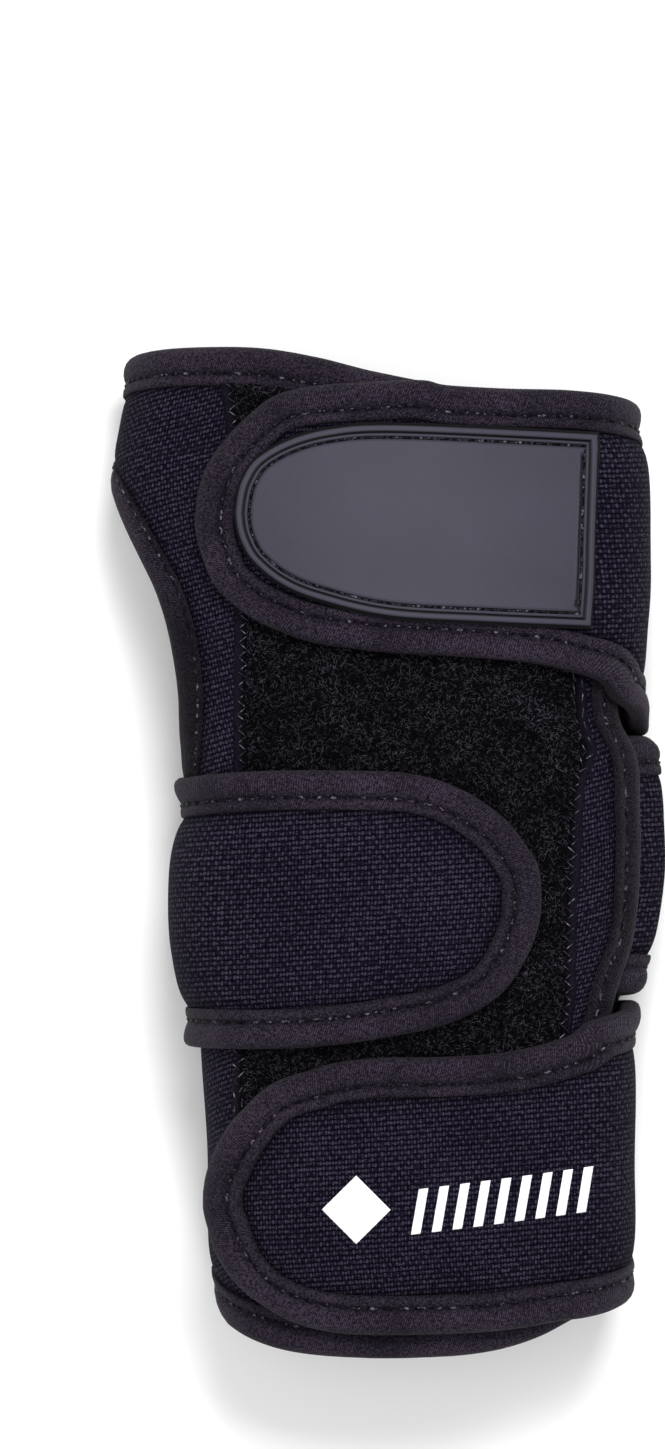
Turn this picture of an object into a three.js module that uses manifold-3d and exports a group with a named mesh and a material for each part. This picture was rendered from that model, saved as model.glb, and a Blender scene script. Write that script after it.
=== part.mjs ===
import * as THREE from "three";
import { mergeVertices } from "three/addons/utils/BufferGeometryUtils.js";
import Module from "manifold-3d";

// A padded wrist-support glove for the right hand, lying palm down and closed as it is worn.
// X runs from the thumb side to the little-finger side, Y towards the fingers, Z up from the palm.

// Driving sizes, in millimetres
const length = 191.9;
const width = 104.8;
const depth = 42;
const bodyWall = 3;
const strapWall = 3;
const pileDepth = 1.2;
const bindingWidth = 7.2;
const bindingProud = 0.6;
const bindingRound = 0.9;
const clearance = 0.3;
const tabThickness = 1;
const tabRimWidth = 1.2;
const tabRimHeight = 0.5;
const thumbCorner = 14;
const littleCorner = 11;
const palmCorner = 15;
const crownAngle = THREE.MathUtils.degToRad(20);
const thumbHoleHeight = 37;
const slitWidth = 12;

// Facets: the mean length of an edge, and the cells of each piece as multiples of it
const facet = 5.5;
const bodyCellRound = 1.15 * facet;
const bodyCellAlong = 2.8 * facet;
const longEdgeCell = 1.3 * facet;
const panelCellAcross = 0.85 * facet;
const panelCellAlong = 2.6 * facet;
const curveDivisions = 400;
const bisections = 30;
const weldDistance = 1e-5;

// Heights above the body cloth at which the layers lie
const panelBase = clearance;
const strapOnPanel = panelBase + pileDepth + clearance;
const strapOnBody = bindingProud + clearance;
const tuckedBase = -(bodyWall + bindingProud + 2 * clearance + strapWall);
const restHeight = strapOnBody + strapWall;
const strapHeight = strapOnPanel + strapWall;

// Turns round the hand, from the middle of the back: positive on the little-finger side
const littleTurn = 0.2;
const thumbTurn = -0.2;
const palmTurnMiddle = -0.5;
const palmTurnFar = -0.6;
const slitSetBack = 0.04;
const closingDrop = { from: 0.22, to: 0.32 };
const middleRise = { from: -0.262, to: -0.182 };
const tuckRun = 0.042;

function table(columns, rows) {
  return rows.map((row) => Object.fromEntries(columns.map((name, i) => [name, row[i]])));
}

// The body's outer form. along and both sides are shares of length and width, deep is a share of depth.
const bodySections = table(["along", "thumbSide", "littleSide", "deep"], [
  [0.5, -0.468, 0.407, 0.74],
  [0.442, -0.481, 0.413, 0.79],
  [0.418, -0.487, 0.414, 0.802],
  [0.398, -0.495, 0.424, 0.811],
  [0.375, -0.4985, 0.428, 0.82],
  [0.313, -0.48, 0.428, 0.857],
  [0.261, -0.454, 0.4275, 0.88],
  [0.208, -0.428, 0.4215, 0.905],
  [0.156, -0.401, 0.4225, 0.93],
  [0.13, -0.3895, 0.4265, 0.94],
  [0.112, -0.382, 0.4395, 0.9475],
  [0.099, -0.3765, 0.454, 0.951],
  [0.079, -0.3685, 0.461, 0.956],
  [0.055, -0.356, 0.461, 0.961],
  [0.03, -0.35, 0.461, 0.966],
  [-0.021, -0.351, 0.463, 0.976],
  [-0.083, -0.348, 0.45, 0.988],
  [-0.119, -0.3415, 0.435, 0.995],
  [-0.14, -0.3375, 0.423, 1],
  [-0.16, -0.332, 0.41, 1],
  [-0.178, -0.3295, 0.404, 1],
  [-0.198, -0.334, 0.401, 1],
  [-0.302, -0.321, 0.396, 1],
  [-0.391, -0.321, 0.398, 0.988],
  [-0.42, -0.315, 0.399, 0.983],
  [-0.459, -0.298, 0.386, 0.976],
  [-0.5, -0.288, 0.367, 0.964],
]);

// Outlines that show on the back of the hand: across is a share of width, along of length.
// Those that go on round the hand have turn instead, in whole turns from the middle of the back.
const fingerEdge = table(["turn", "along"], [
  [-0.62, 0.436],
  [-0.5, 0.438],
  [-0.4, 0.448],
  [-0.33, 0.465],
  [-0.28, 0.482],
  [-0.25, 0.491],
  [-0.2, 0.4975],
  [-0.15, 0.4995],
  [-0.1, 0.4975],
  [-0.05, 0.488],
  [0, 0.474],
  [0.08, 0.458],
  [0.16, 0.4515],
  [0.25, 0.445],
]);
const wristEdge = table(["turn", "along"], [
  [-0.62, -0.462],
  [-0.5, -0.468],
  [-0.36, -0.46],
  [-0.25, -0.456],
  [-0.2, -0.474],
  [-0.13, -0.494],
  [-0.05, -0.5],
  [0.03, -0.4985],
  [0.07, -0.495],
  [0.1, -0.489],
  [0.13, -0.479],
  [0.16, -0.464],
  [0.2, -0.45],
  [0.25, -0.444],
]);
const backEdge = table(["across", "along"], [
  [0.395, 0.5],
  [0.402, 0.45],
  [0.412, 0.4],
  [0.419, 0.287],
  [0.4165, 0.161],
  [0.4205, 0.13],
  [0.435, 0.112],
  [0.448, 0.099],
  [0.4555, 0.079],
  [0.456, 0.045],
  [0.4575, -0.019],
  [0.4435, -0.09],
  [0.41, -0.149],
  [0.388, -0.208],
  [0.382, -0.33],
  [0.36, -0.5],
]);

// The thumb opening: over and under are shares of its height, measured from the thumb-side line.
const thumbHole = table(["along", "over", "under"], [
  [0.3575, -0.12, 0.12],
  [0.352, -0.03, 0.22],
  [0.338, 0.06, 0.34],
  [0.316, 0.14, 0.47],
  [0.287, 0.21, 0.6],
  [0.25, 0.265, 0.7],
  [0.208, 0.27, 0.73],
  [0.156, 0.215, 0.68],
  [0.104, 0.11, 0.58],
  [0.062, 0, 0.47],
  [0.036, -0.09, 0.38],
  [0.0205, -0.17, 0.29],
  [0.0155, -0.23, 0.23],
]);

const upperStrapTop = table(["across", "along"], [
  [-0.35, 0.318],
  [-0.346, 0.349],
  [-0.333, 0.375],
  [-0.303, 0.401],
  [-0.261, 0.426],
  [-0.205, 0.449],
  [-0.136, 0.4585],
  [-0.063, 0.4615],
  [0.06, 0.4645],
  [0.109, 0.4595],
  [0.221, 0.4565],
  [0.335, 0.4555],
  [0.43, 0.45],
]);
const upperStrapTopWrap = table(["turn", "along"], [
  [0.27, 0.437],
  [0.34, 0.43],
  [0.5, 0.424],
]);
const upperStrapFoot = table(["across", "along"], [
  [-0.35, 0.318],
  [-0.335, 0.287],
  [-0.317, 0.264],
  [-0.288, 0.2465],
  [-0.252, 0.231],
  [-0.205, 0.218],
  [-0.15, 0.207],
  [-0.103, 0.202],
  [0.002, 0.195],
  [0.132, 0.191],
  [0.263, 0.185],
  [0.344, 0.1755],
  [0.399, 0.166],
  [0.438, 0.145],
]);
const upperStrapFootWrap = table(["turn", "along"], [
  [0.27, 0.116],
  [0.34, 0.1155],
  [0.5, 0.1175],
]);

const lowerStrapTop = table(["across", "along"], [
  [-0.334, -0.337],
  [-0.33, -0.322],
  [-0.321, -0.305],
  [-0.306, -0.285],
  [-0.277, -0.2625],
  [-0.237, -0.24],
  [-0.196, -0.225],
  [-0.132, -0.214],
  [-0.096, -0.208],
  [-0.013, -0.203],
  [0.107, -0.202],
  [0.225, -0.197],
  [0.332, -0.183],
  [0.391, -0.166],
]);
const lowerStrapTopWrap = table(["turn", "along"], [
  [0.26, -0.155],
  [0.34, -0.163],
  [0.5, -0.2],
]);
const lowerStrapFoot = table(["across", "along"], [
  [-0.334, -0.337],
  [-0.334, -0.355],
  [-0.326, -0.374],
  [-0.313, -0.397],
  [-0.284, -0.422],
  [-0.237, -0.4445],
  [-0.185, -0.461],
  [-0.132, -0.47],
  [-0.063, -0.475],
  [0.06, -0.475],
  [0.197, -0.472],
  [0.317, -0.463],
  [0.379, -0.459],
]);
const lowerStrapFootWrap = table(["turn", "along"], [
  [0.25, -0.441],
  [0.34, -0.437],
  [0.5, -0.437],
]);

const middleStrapTop = table(["across", "along"], [
  [0.279, -0.038],
  [0.274, -0.015],
  [0.2554, 0.002],
  [0.214, 0.031],
  [0.136, 0.06],
  [0.047, 0.0755],
  [-0.073, 0.079],
  [-0.252, 0.078],
]);
const middleStrapTopWrap = table(["turn", "along"], [
  [-0.25, 0.069],
  [-0.34, 0.074],
  [-0.5, 0.092],
  [-0.64, 0.107],
  [-0.74, 0.111],
  [-0.86, 0.1115],
]);
const middleStrapFoot = table(["across", "along"], [
  [0.279, -0.038],
  [0.2755, -0.07],
  [0.248, -0.109],
  [0.196, -0.145],
  [0.107, -0.17],
  [-0.013, -0.184],
  [-0.103, -0.191],
  [-0.221, -0.195],
]);
const middleStrapFootWrap = table(["turn", "along"], [
  [-0.25, -0.195],
  [-0.34, -0.191],
  [-0.5, -0.171],
  [-0.64, -0.154],
  [-0.74, -0.145],
  [-0.86, -0.14],
]);

const panelThumbEdge = table(["across", "along"], [
  [-0.2935, 0.5],
  [-0.281, 0.42],
  [-0.281, 0.16],
  [-0.2775, 0.06],
  [-0.276, -0.2],
  [-0.268, -0.34],
  [-0.225, -0.43],
  [-0.2, -0.5],
]);
const panelLittleEdge = table(["across", "along"], [
  [0.335, 0.5],
  [0.345, 0.35],
  [0.353, 0.2],
  [0.354, 0.1],
  [0.335, -0.15],
  [0.285, -0.5],
]);

const tabTop = table(["across", "along"], [
  [-0.2717, 0.333],
  [-0.268, 0.35],
  [-0.259, 0.3665],
  [-0.233, 0.3865],
  [-0.1775, 0.404],
  [-0.103, 0.415],
  [0.002, 0.419],
  [0.2536, 0.414],
  [0.377, 0.411],
]);
const tabFoot = table(["across", "along"], [
  [-0.2717, 0.333],
  [-0.268, 0.318],
  [-0.257, 0.303],
  [-0.239, 0.289],
  [-0.194, 0.27],
  [-0.1286, 0.2535],
  [0.002, 0.2335],
  [0.18, 0.2265],
  [0.364, 0.2215],
]);

// Smooth value of one column at a place given by another, read through a short table.
function read(rows, key, column, at) {
  const down = rows[0][key] > rows[rows.length - 1][key];
  const sorted = down ? [...rows].reverse() : rows;
  const last = sorted.length - 1;
  if (at <= sorted[0][key]) return sorted[0][column];
  if (at >= sorted[last][key]) return sorted[last][column];
  const i = sorted.findIndex((row, n) => n < last && at < sorted[n + 1][key]);
  const slope = (n) => {
    const before = sorted[Math.max(n - 1, 0)];
    const after = sorted[Math.min(n + 1, last)];
    return (after[column] - before[column]) / (after[key] - before[key]);
  };
  const span = sorted[i + 1][key] - sorted[i][key];
  const t = (at - sorted[i][key]) / span;
  const a = sorted[i][column];
  const b = sorted[i + 1][column];
  const blend = t * t * (3 - 2 * t);
  const curl = t * (1 - t) * span * (slope(i) * (1 - t) - slope(i + 1) * t);
  return a + (b - a) * blend + curl;
}

// One half of the cross-section, from the middle of the back to the middle of the palm, as arcs and lines.
function halfSection(side, y) {
  const at = y / length;
  const left = width * read(bodySections, "along", "thumbSide", at);
  const right = width * read(bodySections, "along", "littleSide", at);
  const high = depth * read(bodySections, "along", "deep", at);
  const lean = 1 - Math.sin(crownAngle);
  const leftEnd = left + thumbCorner * lean;
  const rightEnd = right - littleCorner * lean;
  const middle = (leftEnd + rightEnd) / 2;
  const crown = (rightEnd - leftEnd) / 2 / Math.sin(crownAngle);
  const corner = side > 0 ? littleCorner : thumbCorner;
  const reach = side > 0 ? right - middle : middle - left;
  const shoulder = high - crown * (1 - Math.cos(crownAngle)) - corner * Math.cos(crownAngle);
  const quarter = Math.PI / 2;
  const runs = [
    { across: 0, up: high - crown, radius: crown, from: 0, sweep: crownAngle },
    { across: reach - corner, up: shoulder, radius: corner, from: crownAngle, sweep: quarter - crownAngle },
    { across: reach, up: shoulder, from: quarter, run: shoulder - palmCorner },
    { across: reach - palmCorner, up: palmCorner, radius: palmCorner, from: quarter, sweep: quarter },
    { across: reach - palmCorner, up: 0, from: 2 * quarter, run: reach - palmCorner },
  ];
  for (const piece of runs) {
    piece.span = piece.radius ? piece.radius * piece.sweep : piece.run;
  }
  const span = runs.reduce((sum, piece) => sum + piece.span, 0);
  return { middle, runs, span, toSide: runs[0].span + runs[1].span };
}

// The point at a turn round the hand, a place along it and a height above the body cloth.
function place(turn, y, height) {
  const wrapped = turn - Math.round(turn);
  const side = wrapped < 0 ? -1 : 1;
  const half = halfSection(side, y);
  let rest = Math.abs(wrapped) * 2 * half.span;
  let piece = half.runs[0];
  for (const next of half.runs) {
    piece = next;
    if (rest <= next.span || next === half.runs[half.runs.length - 1]) break;
    rest -= next.span;
  }
  const angle = piece.from + (piece.radius ? rest / piece.radius : 0);
  const reach = (piece.radius ?? 0) + height;
  const slide = piece.radius ? 0 : rest;
  const across = piece.across + reach * Math.sin(angle) + slide * Math.cos(piece.from);
  const up = piece.up + reach * Math.cos(angle) - slide * Math.sin(piece.from);
  return new THREE.Vector3(half.middle + side * across, y, restHeight + up);
}

function sideTurn(side, y) {
  const half = halfSection(side, y);
  return (side * half.toSide) / half.span / 2;
}

// The turn on the back of the hand at which a layer shows at a given place across.
function turnAtFront(x, y, height) {
  let low = sideTurn(-1, y);
  let high = sideTurn(1, y);
  for (let i = 0; i < bisections; i++) {
    const turn = (low + high) / 2;
    if (place(turn, y, height).x < x) low = turn;
    else high = turn;
  }
  return (low + high) / 2;
}

const girth = halfSection(1, 0).span + halfSection(-1, 0).span;

function localGirth(turn, y) {
  const wrapped = turn - Math.round(turn);
  return 2 * halfSection(wrapped < 0 ? -1 : 1, y).span;
}

// Flat pattern points: x is the way round at the mean girth, y is along the hand.
function onFront(rows, height) {
  return rows.map(({ across, along }) => {
    const y = along * length;
    return new THREE.Vector2(turnAtFront(across * width, y, height) * girth, y);
  });
}

function onWrap(rows) {
  return rows.map(({ turn, along }) => new THREE.Vector2(turn * girth, along * length));
}

function sample(points, count, crowd) {
  const curve = new THREE.SplineCurve(points);
  curve.arcLengthDivisions = curveDivisions;
  return Array.from({ length: count + 1 }, (_, i) => curve.getPointAt((i / count) ** crowd));
}

// Each point of an outline moved sideways by a distance on the cloth, to the left of its direction.
function inset(outline, distance, closed = false) {
  const n = outline.length;
  if (distance === 0) return outline;
  return outline.map((point, i) => {
    const before = closed ? outline[(i + n - 1) % n] : outline[Math.max(i - 1, 0)];
    const after = closed ? outline[(i + 1) % n] : outline[Math.min(i + 1, n - 1)];
    const stretch = localGirth(point.x / girth, point.y) / girth;
    const run = new THREE.Vector2((after.x - before.x) * stretch, after.y - before.y).normalize();
    return new THREE.Vector2(point.x - (run.y * distance) / stretch, point.y + run.x * distance);
  });
}

function meshFrom(points, triangles) {
  const geometry = new THREE.BufferGeometry().setFromPoints(points);
  geometry.setIndex(triangles);
  if (signedVolume(points, triangles) < 0) {
    geometry.setIndex(triangles.map((_, i) => triangles[i + 2 - 2 * (i % 3)]));
  }
  geometry.computeVertexNormals();
  return geometry;
}

function signedVolume(points, triangles) {
  let sum = 0;
  for (let i = 0; i < triangles.length; i += 3) {
    const [a, b, c] = [points[triangles[i]], points[triangles[i + 1]], points[triangles[i + 2]]];
    sum += a.dot(b.clone().cross(c));
  }
  return sum;
}

// A wall on the hand's form: rows of flat pattern points, with its inner and outer heights at each point.
function wall(rows, inner, outer) {
  const down = rows.length;
  const over = rows[0].length;
  const points = [];
  for (const height of [inner, outer]) {
    for (const row of rows) {
      for (const p of row) points.push(place(p.x / girth, p.y, height(p)));
    }
  }
  const at = (layer, i, j) => layer * down * over + i * over + j;
  const triangles = [];
  const quad = (a, b, c, d) => triangles.push(a, b, c, a, c, d);
  for (let i = 0; i + 1 < down; i++) {
    for (let j = 0; j + 1 < over; j++) {
      quad(at(1, i, j), at(1, i + 1, j), at(1, i + 1, j + 1), at(1, i, j + 1));
      quad(at(0, i, j), at(0, i, j + 1), at(0, i + 1, j + 1), at(0, i + 1, j));
    }
    quad(at(0, i, 0), at(0, i + 1, 0), at(1, i + 1, 0), at(1, i, 0));
    quad(at(1, i, over - 1), at(1, i + 1, over - 1), at(0, i + 1, over - 1), at(0, i, over - 1));
  }
  for (let j = 0; j + 1 < over; j++) {
    quad(at(1, 0, j), at(1, 0, j + 1), at(0, 0, j + 1), at(0, 0, j));
    quad(at(0, down - 1, j), at(0, down - 1, j + 1), at(1, down - 1, j + 1), at(1, down - 1, j));
  }
  return meshFrom(points, triangles);
}

// A rounded band of binding inside an outline, from its free edge to its sewn edge.
function band(outline, bandWidth, inner, outer, round, closed = false) {
  const crest = 0.45;
  const profile = table(["inward", "top", "drop"], [
    [0, false, round],
    [0, true, round],
    [crest, true, 0],
    [1, true, round / 2],
    [1, false, round / 2],
    [crest, false, 0],
  ]);
  const points = [];
  for (const { inward, top, drop } of profile) {
    for (const p of inset(outline, inward * bandWidth, closed)) {
      const height = top ? outer(p) - drop : inner(p) + drop;
      points.push(place(p.x / girth, p.y, height));
    }
  }
  const n = outline.length;
  const sides = profile.length;
  const triangles = [];
  const steps = closed ? n : n - 1;
  for (let k = 0; k < sides; k++) {
    const next = (k + 1) % sides;
    for (let i = 0; i < steps; i++) {
      const j = (i + 1) % n;
      triangles.push(k * n + i, next * n + i, next * n + j, k * n + i, next * n + j, k * n + j);
    }
  }
  if (!closed) {
    for (let k = 1; k + 1 < sides; k++) {
      triangles.push(0, (k + 1) * n, k * n);
      triangles.push(n - 1, k * n + n - 1, (k + 1) * n + n - 1);
    }
  }
  return meshFrom(points, triangles);
}

const wasm = await Module();
wasm.setup();

function solid(geometry) {
  const bare = geometry.clone();
  bare.deleteAttribute("normal");
  const merged = mergeVertices(bare, weldDistance);
  const vertProperties = Float32Array.from(merged.attributes.position.array);
  const triVerts = Uint32Array.from(merged.index.array);
  return new wasm.Manifold(new wasm.Mesh({ numProp: 3, vertProperties, triVerts }));
}

function fromSolid(body) {
  const { vertProperties, triVerts } = body.getMesh();
  const geometry = new THREE.BufferGeometry();
  geometry.setAttribute("position", new THREE.BufferAttribute(Float32Array.from(vertProperties), 3));
  geometry.setIndex(new THREE.BufferAttribute(Uint32Array.from(triVerts), 1));
  geometry.computeVertexNormals();
  return geometry;
}

const cloth = {
  canvas: new THREE.MeshStandardMaterial({ color: 0x1d1c26, roughness: 0.9, metalness: 0 }),
  binding: new THREE.MeshStandardMaterial({ color: 0x2c272e, roughness: 0.85, metalness: 0 }),
  pile: new THREE.MeshStandardMaterial({ color: 0x101014, roughness: 1, metalness: 0 }),
  rubber: new THREE.MeshStandardMaterial({ color: 0x4d4b57, roughness: 0.5, metalness: 0 }),
};

const glove = new THREE.Group();

function add(name, geometry, material) {
  const mesh = new THREE.Mesh(geometry, material);
  mesh.name = name;
  glove.add(mesh);
}

const seam = bindingWidth + clearance;
const fixed = (height) => () => height;

function ladder(a, b, steps) {
  return Array.from({ length: steps + 1 }, (_, k) => a.clone().lerp(b, k / steps));
}

// The two long edges of the wrap, as turns at a place along the hand
function backEdgeTurn(y) {
  return turnAtFront(width * read(backEdge, "along", "across", y / length), y, 0);
}

function palmEdgeTurn(y) {
  const start = Math.max(backEdgeTurn(y), sideTurn(1, y) - slitSetBack);
  return start + slitWidth / localGirth(littleTurn, y);
}

const bandLow = -bodyWall - bindingProud;
const roomLow = bandLow - bodyWall / 2;
const roomHigh = bindingProud + bodyWall / 2;

function bodyBand(outline, closed = false) {
  return band(outline, bindingWidth, fixed(bandLow), fixed(bindingProud), bindingRound, closed);
}

// What a binding and its clearance take out of the cloth beside it
function bandRoom(outline, closed = false) {
  const room = bindingWidth + 2 * clearance;
  return solid(band(outline, room, fixed(roomLow), fixed(roomHigh), 0, closed));
}

const fingerY = (turn) => length * read(fingerEdge, "turn", "along", turn);
const wristY = (turn) => length * read(wristEdge, "turn", "along", turn);
const palmTurn = (y) => palmEdgeTurn(y) - 1;

function endOutline(edge, backTurn, frontTurn) {
  const steps = Math.ceil(((backTurn - frontTurn) * girth) / facet);
  return Array.from({ length: steps + 1 }, (_, i) => {
    const turn = backTurn + ((frontTurn - backTurn) * i) / steps;
    return new THREE.Vector2(turn * girth, edge(turn));
  });
}

function longOutline(turnAt, from, to) {
  const steps = Math.ceil((from - to) / longEdgeCell);
  return Array.from({ length: steps + 1 }, (_, i) => {
    const y = from + ((to - from) * i) / steps;
    return new THREE.Vector2(turnAt(y) * girth, y);
  });
}

function thumbOutline() {
  const steps = 14;
  const side = (column, sign) => thumbHole.map((row) => {
    const y = row.along * length;
    const turn = sideTurn(-1, y) + (sign * row[column] * thumbHoleHeight) / localGirth(thumbTurn, y);
    return new THREE.Vector2(turn * girth, y);
  });
  const over = sample(side("over", 1), steps, 1);
  const under = sample(side("under", -1), steps, 1);
  return [...over, ...under.slice(1, -1).reverse()];
}

function buildBody() {
  const half = bindingWidth / 2;
  const [topTurns, footTurns] = [fingerY, wristY].map((edge) => ({
    from: backEdgeTurn(edge(littleTurn)),
    to: palmTurn(edge(palmTurnMiddle)),
  }));
  const top = endOutline(fingerY, topTurns.from, topTurns.to);
  const foot = endOutline(wristY, footTurns.from, footTurns.to).reverse();
  const backEnds = [fingerY(littleTurn) - half, wristY(littleTurn) + half];
  const palmEnds = [fingerY(palmTurnFar) - half, wristY(palmTurnFar) + half];
  const back = longOutline(backEdgeTurn, ...backEnds).reverse();
  const palm = longOutline(palmTurn, ...palmEnds);
  const hole = thumbOutline();
  add("finger_end_binding", bodyBand(top), cloth.binding);
  add("wrist_end_binding", bodyBand(foot), cloth.binding);
  add("thumb_opening_binding", bodyBand(hole, true), cloth.binding);
  const pastEnd = 0.03;
  const longTop = endOutline(fingerY, topTurns.from + pastEnd, topTurns.to - pastEnd);
  const longFoot = endOutline(wristY, footTurns.from + pastEnd, footTurns.to - pastEnd);
  const ends = bandRoom(longTop).add(bandRoom(longFoot.reverse()));
  add("dorsal_edge_binding", fromSolid(solid(bodyBand(back)).subtract(ends)), cloth.binding);
  add("palm_edge_binding", fromSolid(solid(bodyBand(palm)).subtract(ends)), cloth.binding);

  const lastLevel = 0.48;
  const round = Math.ceil(girth / bodyCellRound);
  const rowsAlong = Math.ceil(length / bodyCellAlong);
  const rows = Array.from({ length: rowsAlong + 1 }, (_, i) => {
    const v = i / rowsAlong;
    const level = length * lastLevel * (1 - 2 * v);
    const from = backEdgeTurn(level) - half / localGirth(littleTurn, level);
    const to = palmTurn(level) + half / localGirth(littleTurn, level);
    return Array.from({ length: round + 1 }, (_, j) => {
      const turn = from + ((to - from) * j) / round;
      const y = (fingerY(turn) - half) * (1 - v) + (wristY(turn) + half) * v;
      return new THREE.Vector2(turn * girth, y);
    });
  });
  const shell = solid(wall(rows, fixed(-bodyWall), fixed(0)));
  const cuts = [ends, bandRoom(back), bandRoom(palm), thumbRoom(hole)];
  const body = cuts.reduce((left, cut) => left.subtract(cut), shell);
  add("body_shell", fromSolid(body), cloth.canvas);
}

// The thumb opening with its binding, as one block that goes through the wall
function thumbRoom(hole) {
  const outer = inset(hole, bindingWidth / 2, true);
  const half = hole.length / 2;
  const rungs = Array.from({ length: half - 1 }, (_, i) => [outer[i + 1], outer[outer.length - 1 - i]]);
  const blunt = 0.02;
  const rungCells = 6;
  const tip = (point, pair) => pair.map((p) => point.clone().lerp(p, blunt));
  const ends = [tip(outer[0], rungs[0]), tip(outer[half], rungs[rungs.length - 1])];
  const rows = [ends[0], ...rungs, ends[1]].map(([a, b]) => ladder(a, b, rungCells));
  return solid(wall(rows, fixed(roomLow), fixed(roomHigh))).add(bandRoom(hole, true));
}

function buildPanel() {
  const meanWidth = 0.65 * width;
  const steps = Math.ceil(length / panelCellAlong);
  const cells = Math.ceil(meanWidth / panelCellAcross);
  const room = seam + clearance;
  const rows = Array.from({ length: steps + 1 }, (_, i) => {
    const v = i / steps;
    const level = length * (0.5 - v);
    const ends = [panelThumbEdge, panelLittleEdge].map((edge) =>
      turnAtFront(width * read(edge, "along", "across", level / length), level, panelBase),
    );
    return Array.from({ length: cells + 1 }, (_, j) => {
      const turn = ends[0] + ((ends[1] - ends[0]) * j) / cells;
      const y = (fingerY(turn) - room) * (1 - v) + (wristY(turn) + room) * v;
      return new THREE.Vector2(turn * girth, y);
    });
  });
  add("loop_panel", wall(rows, fixed(panelBase), fixed(panelBase + pileDepth)), cloth.pile);
}

function buildStrap(name, top, foot, count, cellsAcross, base) {
  const crowd = 1.25;
  const upper = sample(top, count, crowd);
  const lower = sample(foot, count, crowd);
  const fromUpper = [...[...upper].reverse(), ...lower.slice(1)];
  const outline = THREE.ShapeUtils.isClockWise(fromUpper) ? fromUpper.reverse() : fromUpper;
  const thick = (p) => base(p) + strapWall;
  add(`${name}_binding`, band(outline, bindingWidth, base, thick, bindingRound), cloth.binding);
  const inner = inset(outline, seam);
  const rows = Array.from({ length: count }, (_, i) => {
    return ladder(inner[count - 1 - i], inner[count + 1 + i], cellsAcross);
  });
  add(name, wall(rows, (p) => base(p) + clearance, thick), cloth.canvas);
}

function ease({ from, to }, value) {
  const t = THREE.MathUtils.clamp((value - from) / (to - from), 0, 1);
  return t * t * (3 - 2 * t);
}

function closingBase(p) {
  const turn = p.x / girth;
  return THREE.MathUtils.lerp(strapOnPanel, strapOnBody, ease(closingDrop, turn));
}

function middleBase(p) {
  const turn = p.x / girth;
  const edge = backEdgeTurn(p.y) - 1;
  const out = ease({ from: edge, to: edge + tuckRun }, turn);
  const onPanel = ease(middleRise, turn);
  const body = THREE.MathUtils.lerp(tuckedBase, strapOnBody, out);
  return THREE.MathUtils.lerp(body, strapOnPanel, onPanel);
}

const closingCells = [34, 3];
const middleCells = [44, 4];

buildBody();
buildPanel();
buildStrap(
  "upper_strap",
  [...onFront(upperStrapTop, strapHeight), ...onWrap(upperStrapTopWrap)],
  [...onFront(upperStrapFoot, strapHeight), ...onWrap(upperStrapFootWrap)],
  ...closingCells,
  closingBase,
);
buildStrap(
  "lower_strap",
  [...onFront(lowerStrapTop, strapHeight), ...onWrap(lowerStrapTopWrap)],
  [...onFront(lowerStrapFoot, strapHeight), ...onWrap(lowerStrapFootWrap)],
  ...closingCells,
  closingBase,
);
buildStrap(
  "middle_strap",
  [...onFront(middleStrapTop, strapHeight), ...onWrap(middleStrapTopWrap)],
  [...onFront(middleStrapFoot, strapHeight), ...onWrap(middleStrapFootWrap)],
  ...middleCells,
  middleBase,
);

function buildTab() {
  const base = strapHeight + clearance;
  const count = 14;
  const crowd = 1.3;
  const cellsAcross = 3;
  const upper = sample(onFront(tabTop, base), count, crowd);
  const lower = sample(onFront(tabFoot, base), count, crowd);
  const outline = [...lower.reverse(), ...upper.slice(1)];
  if (THREE.ShapeUtils.isClockWise(outline)) outline.reverse();
  const within = inset(outline, tabRimWidth / 2, true);
  const rows = Array.from({ length: count }, (_, i) => {
    return ladder(within[count - 1 - i], within[count + 1 + i], cellsAcross);
  });
  const plate = solid(wall(rows, fixed(base), fixed(base + tabThickness)));
  const rimTop = base + tabThickness + tabRimHeight;
  const rim = solid(band(outline, tabRimWidth, fixed(base), fixed(rimTop), tabRimHeight / 2, true));
  add("pull_tab", fromSolid(plate.add(rim)), cloth.rubber);
}

buildTab();

// The origin is under the middle of the whole glove
const whole = new THREE.Box3().setFromObject(glove);
glove.position.x = -(whole.min.x + whole.max.x) / 2;
glove.position.y = -(whole.min.y + whole.max.y) / 2;
glove.position.z = -whole.min.z;

export default glove;
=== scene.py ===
import math

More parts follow.
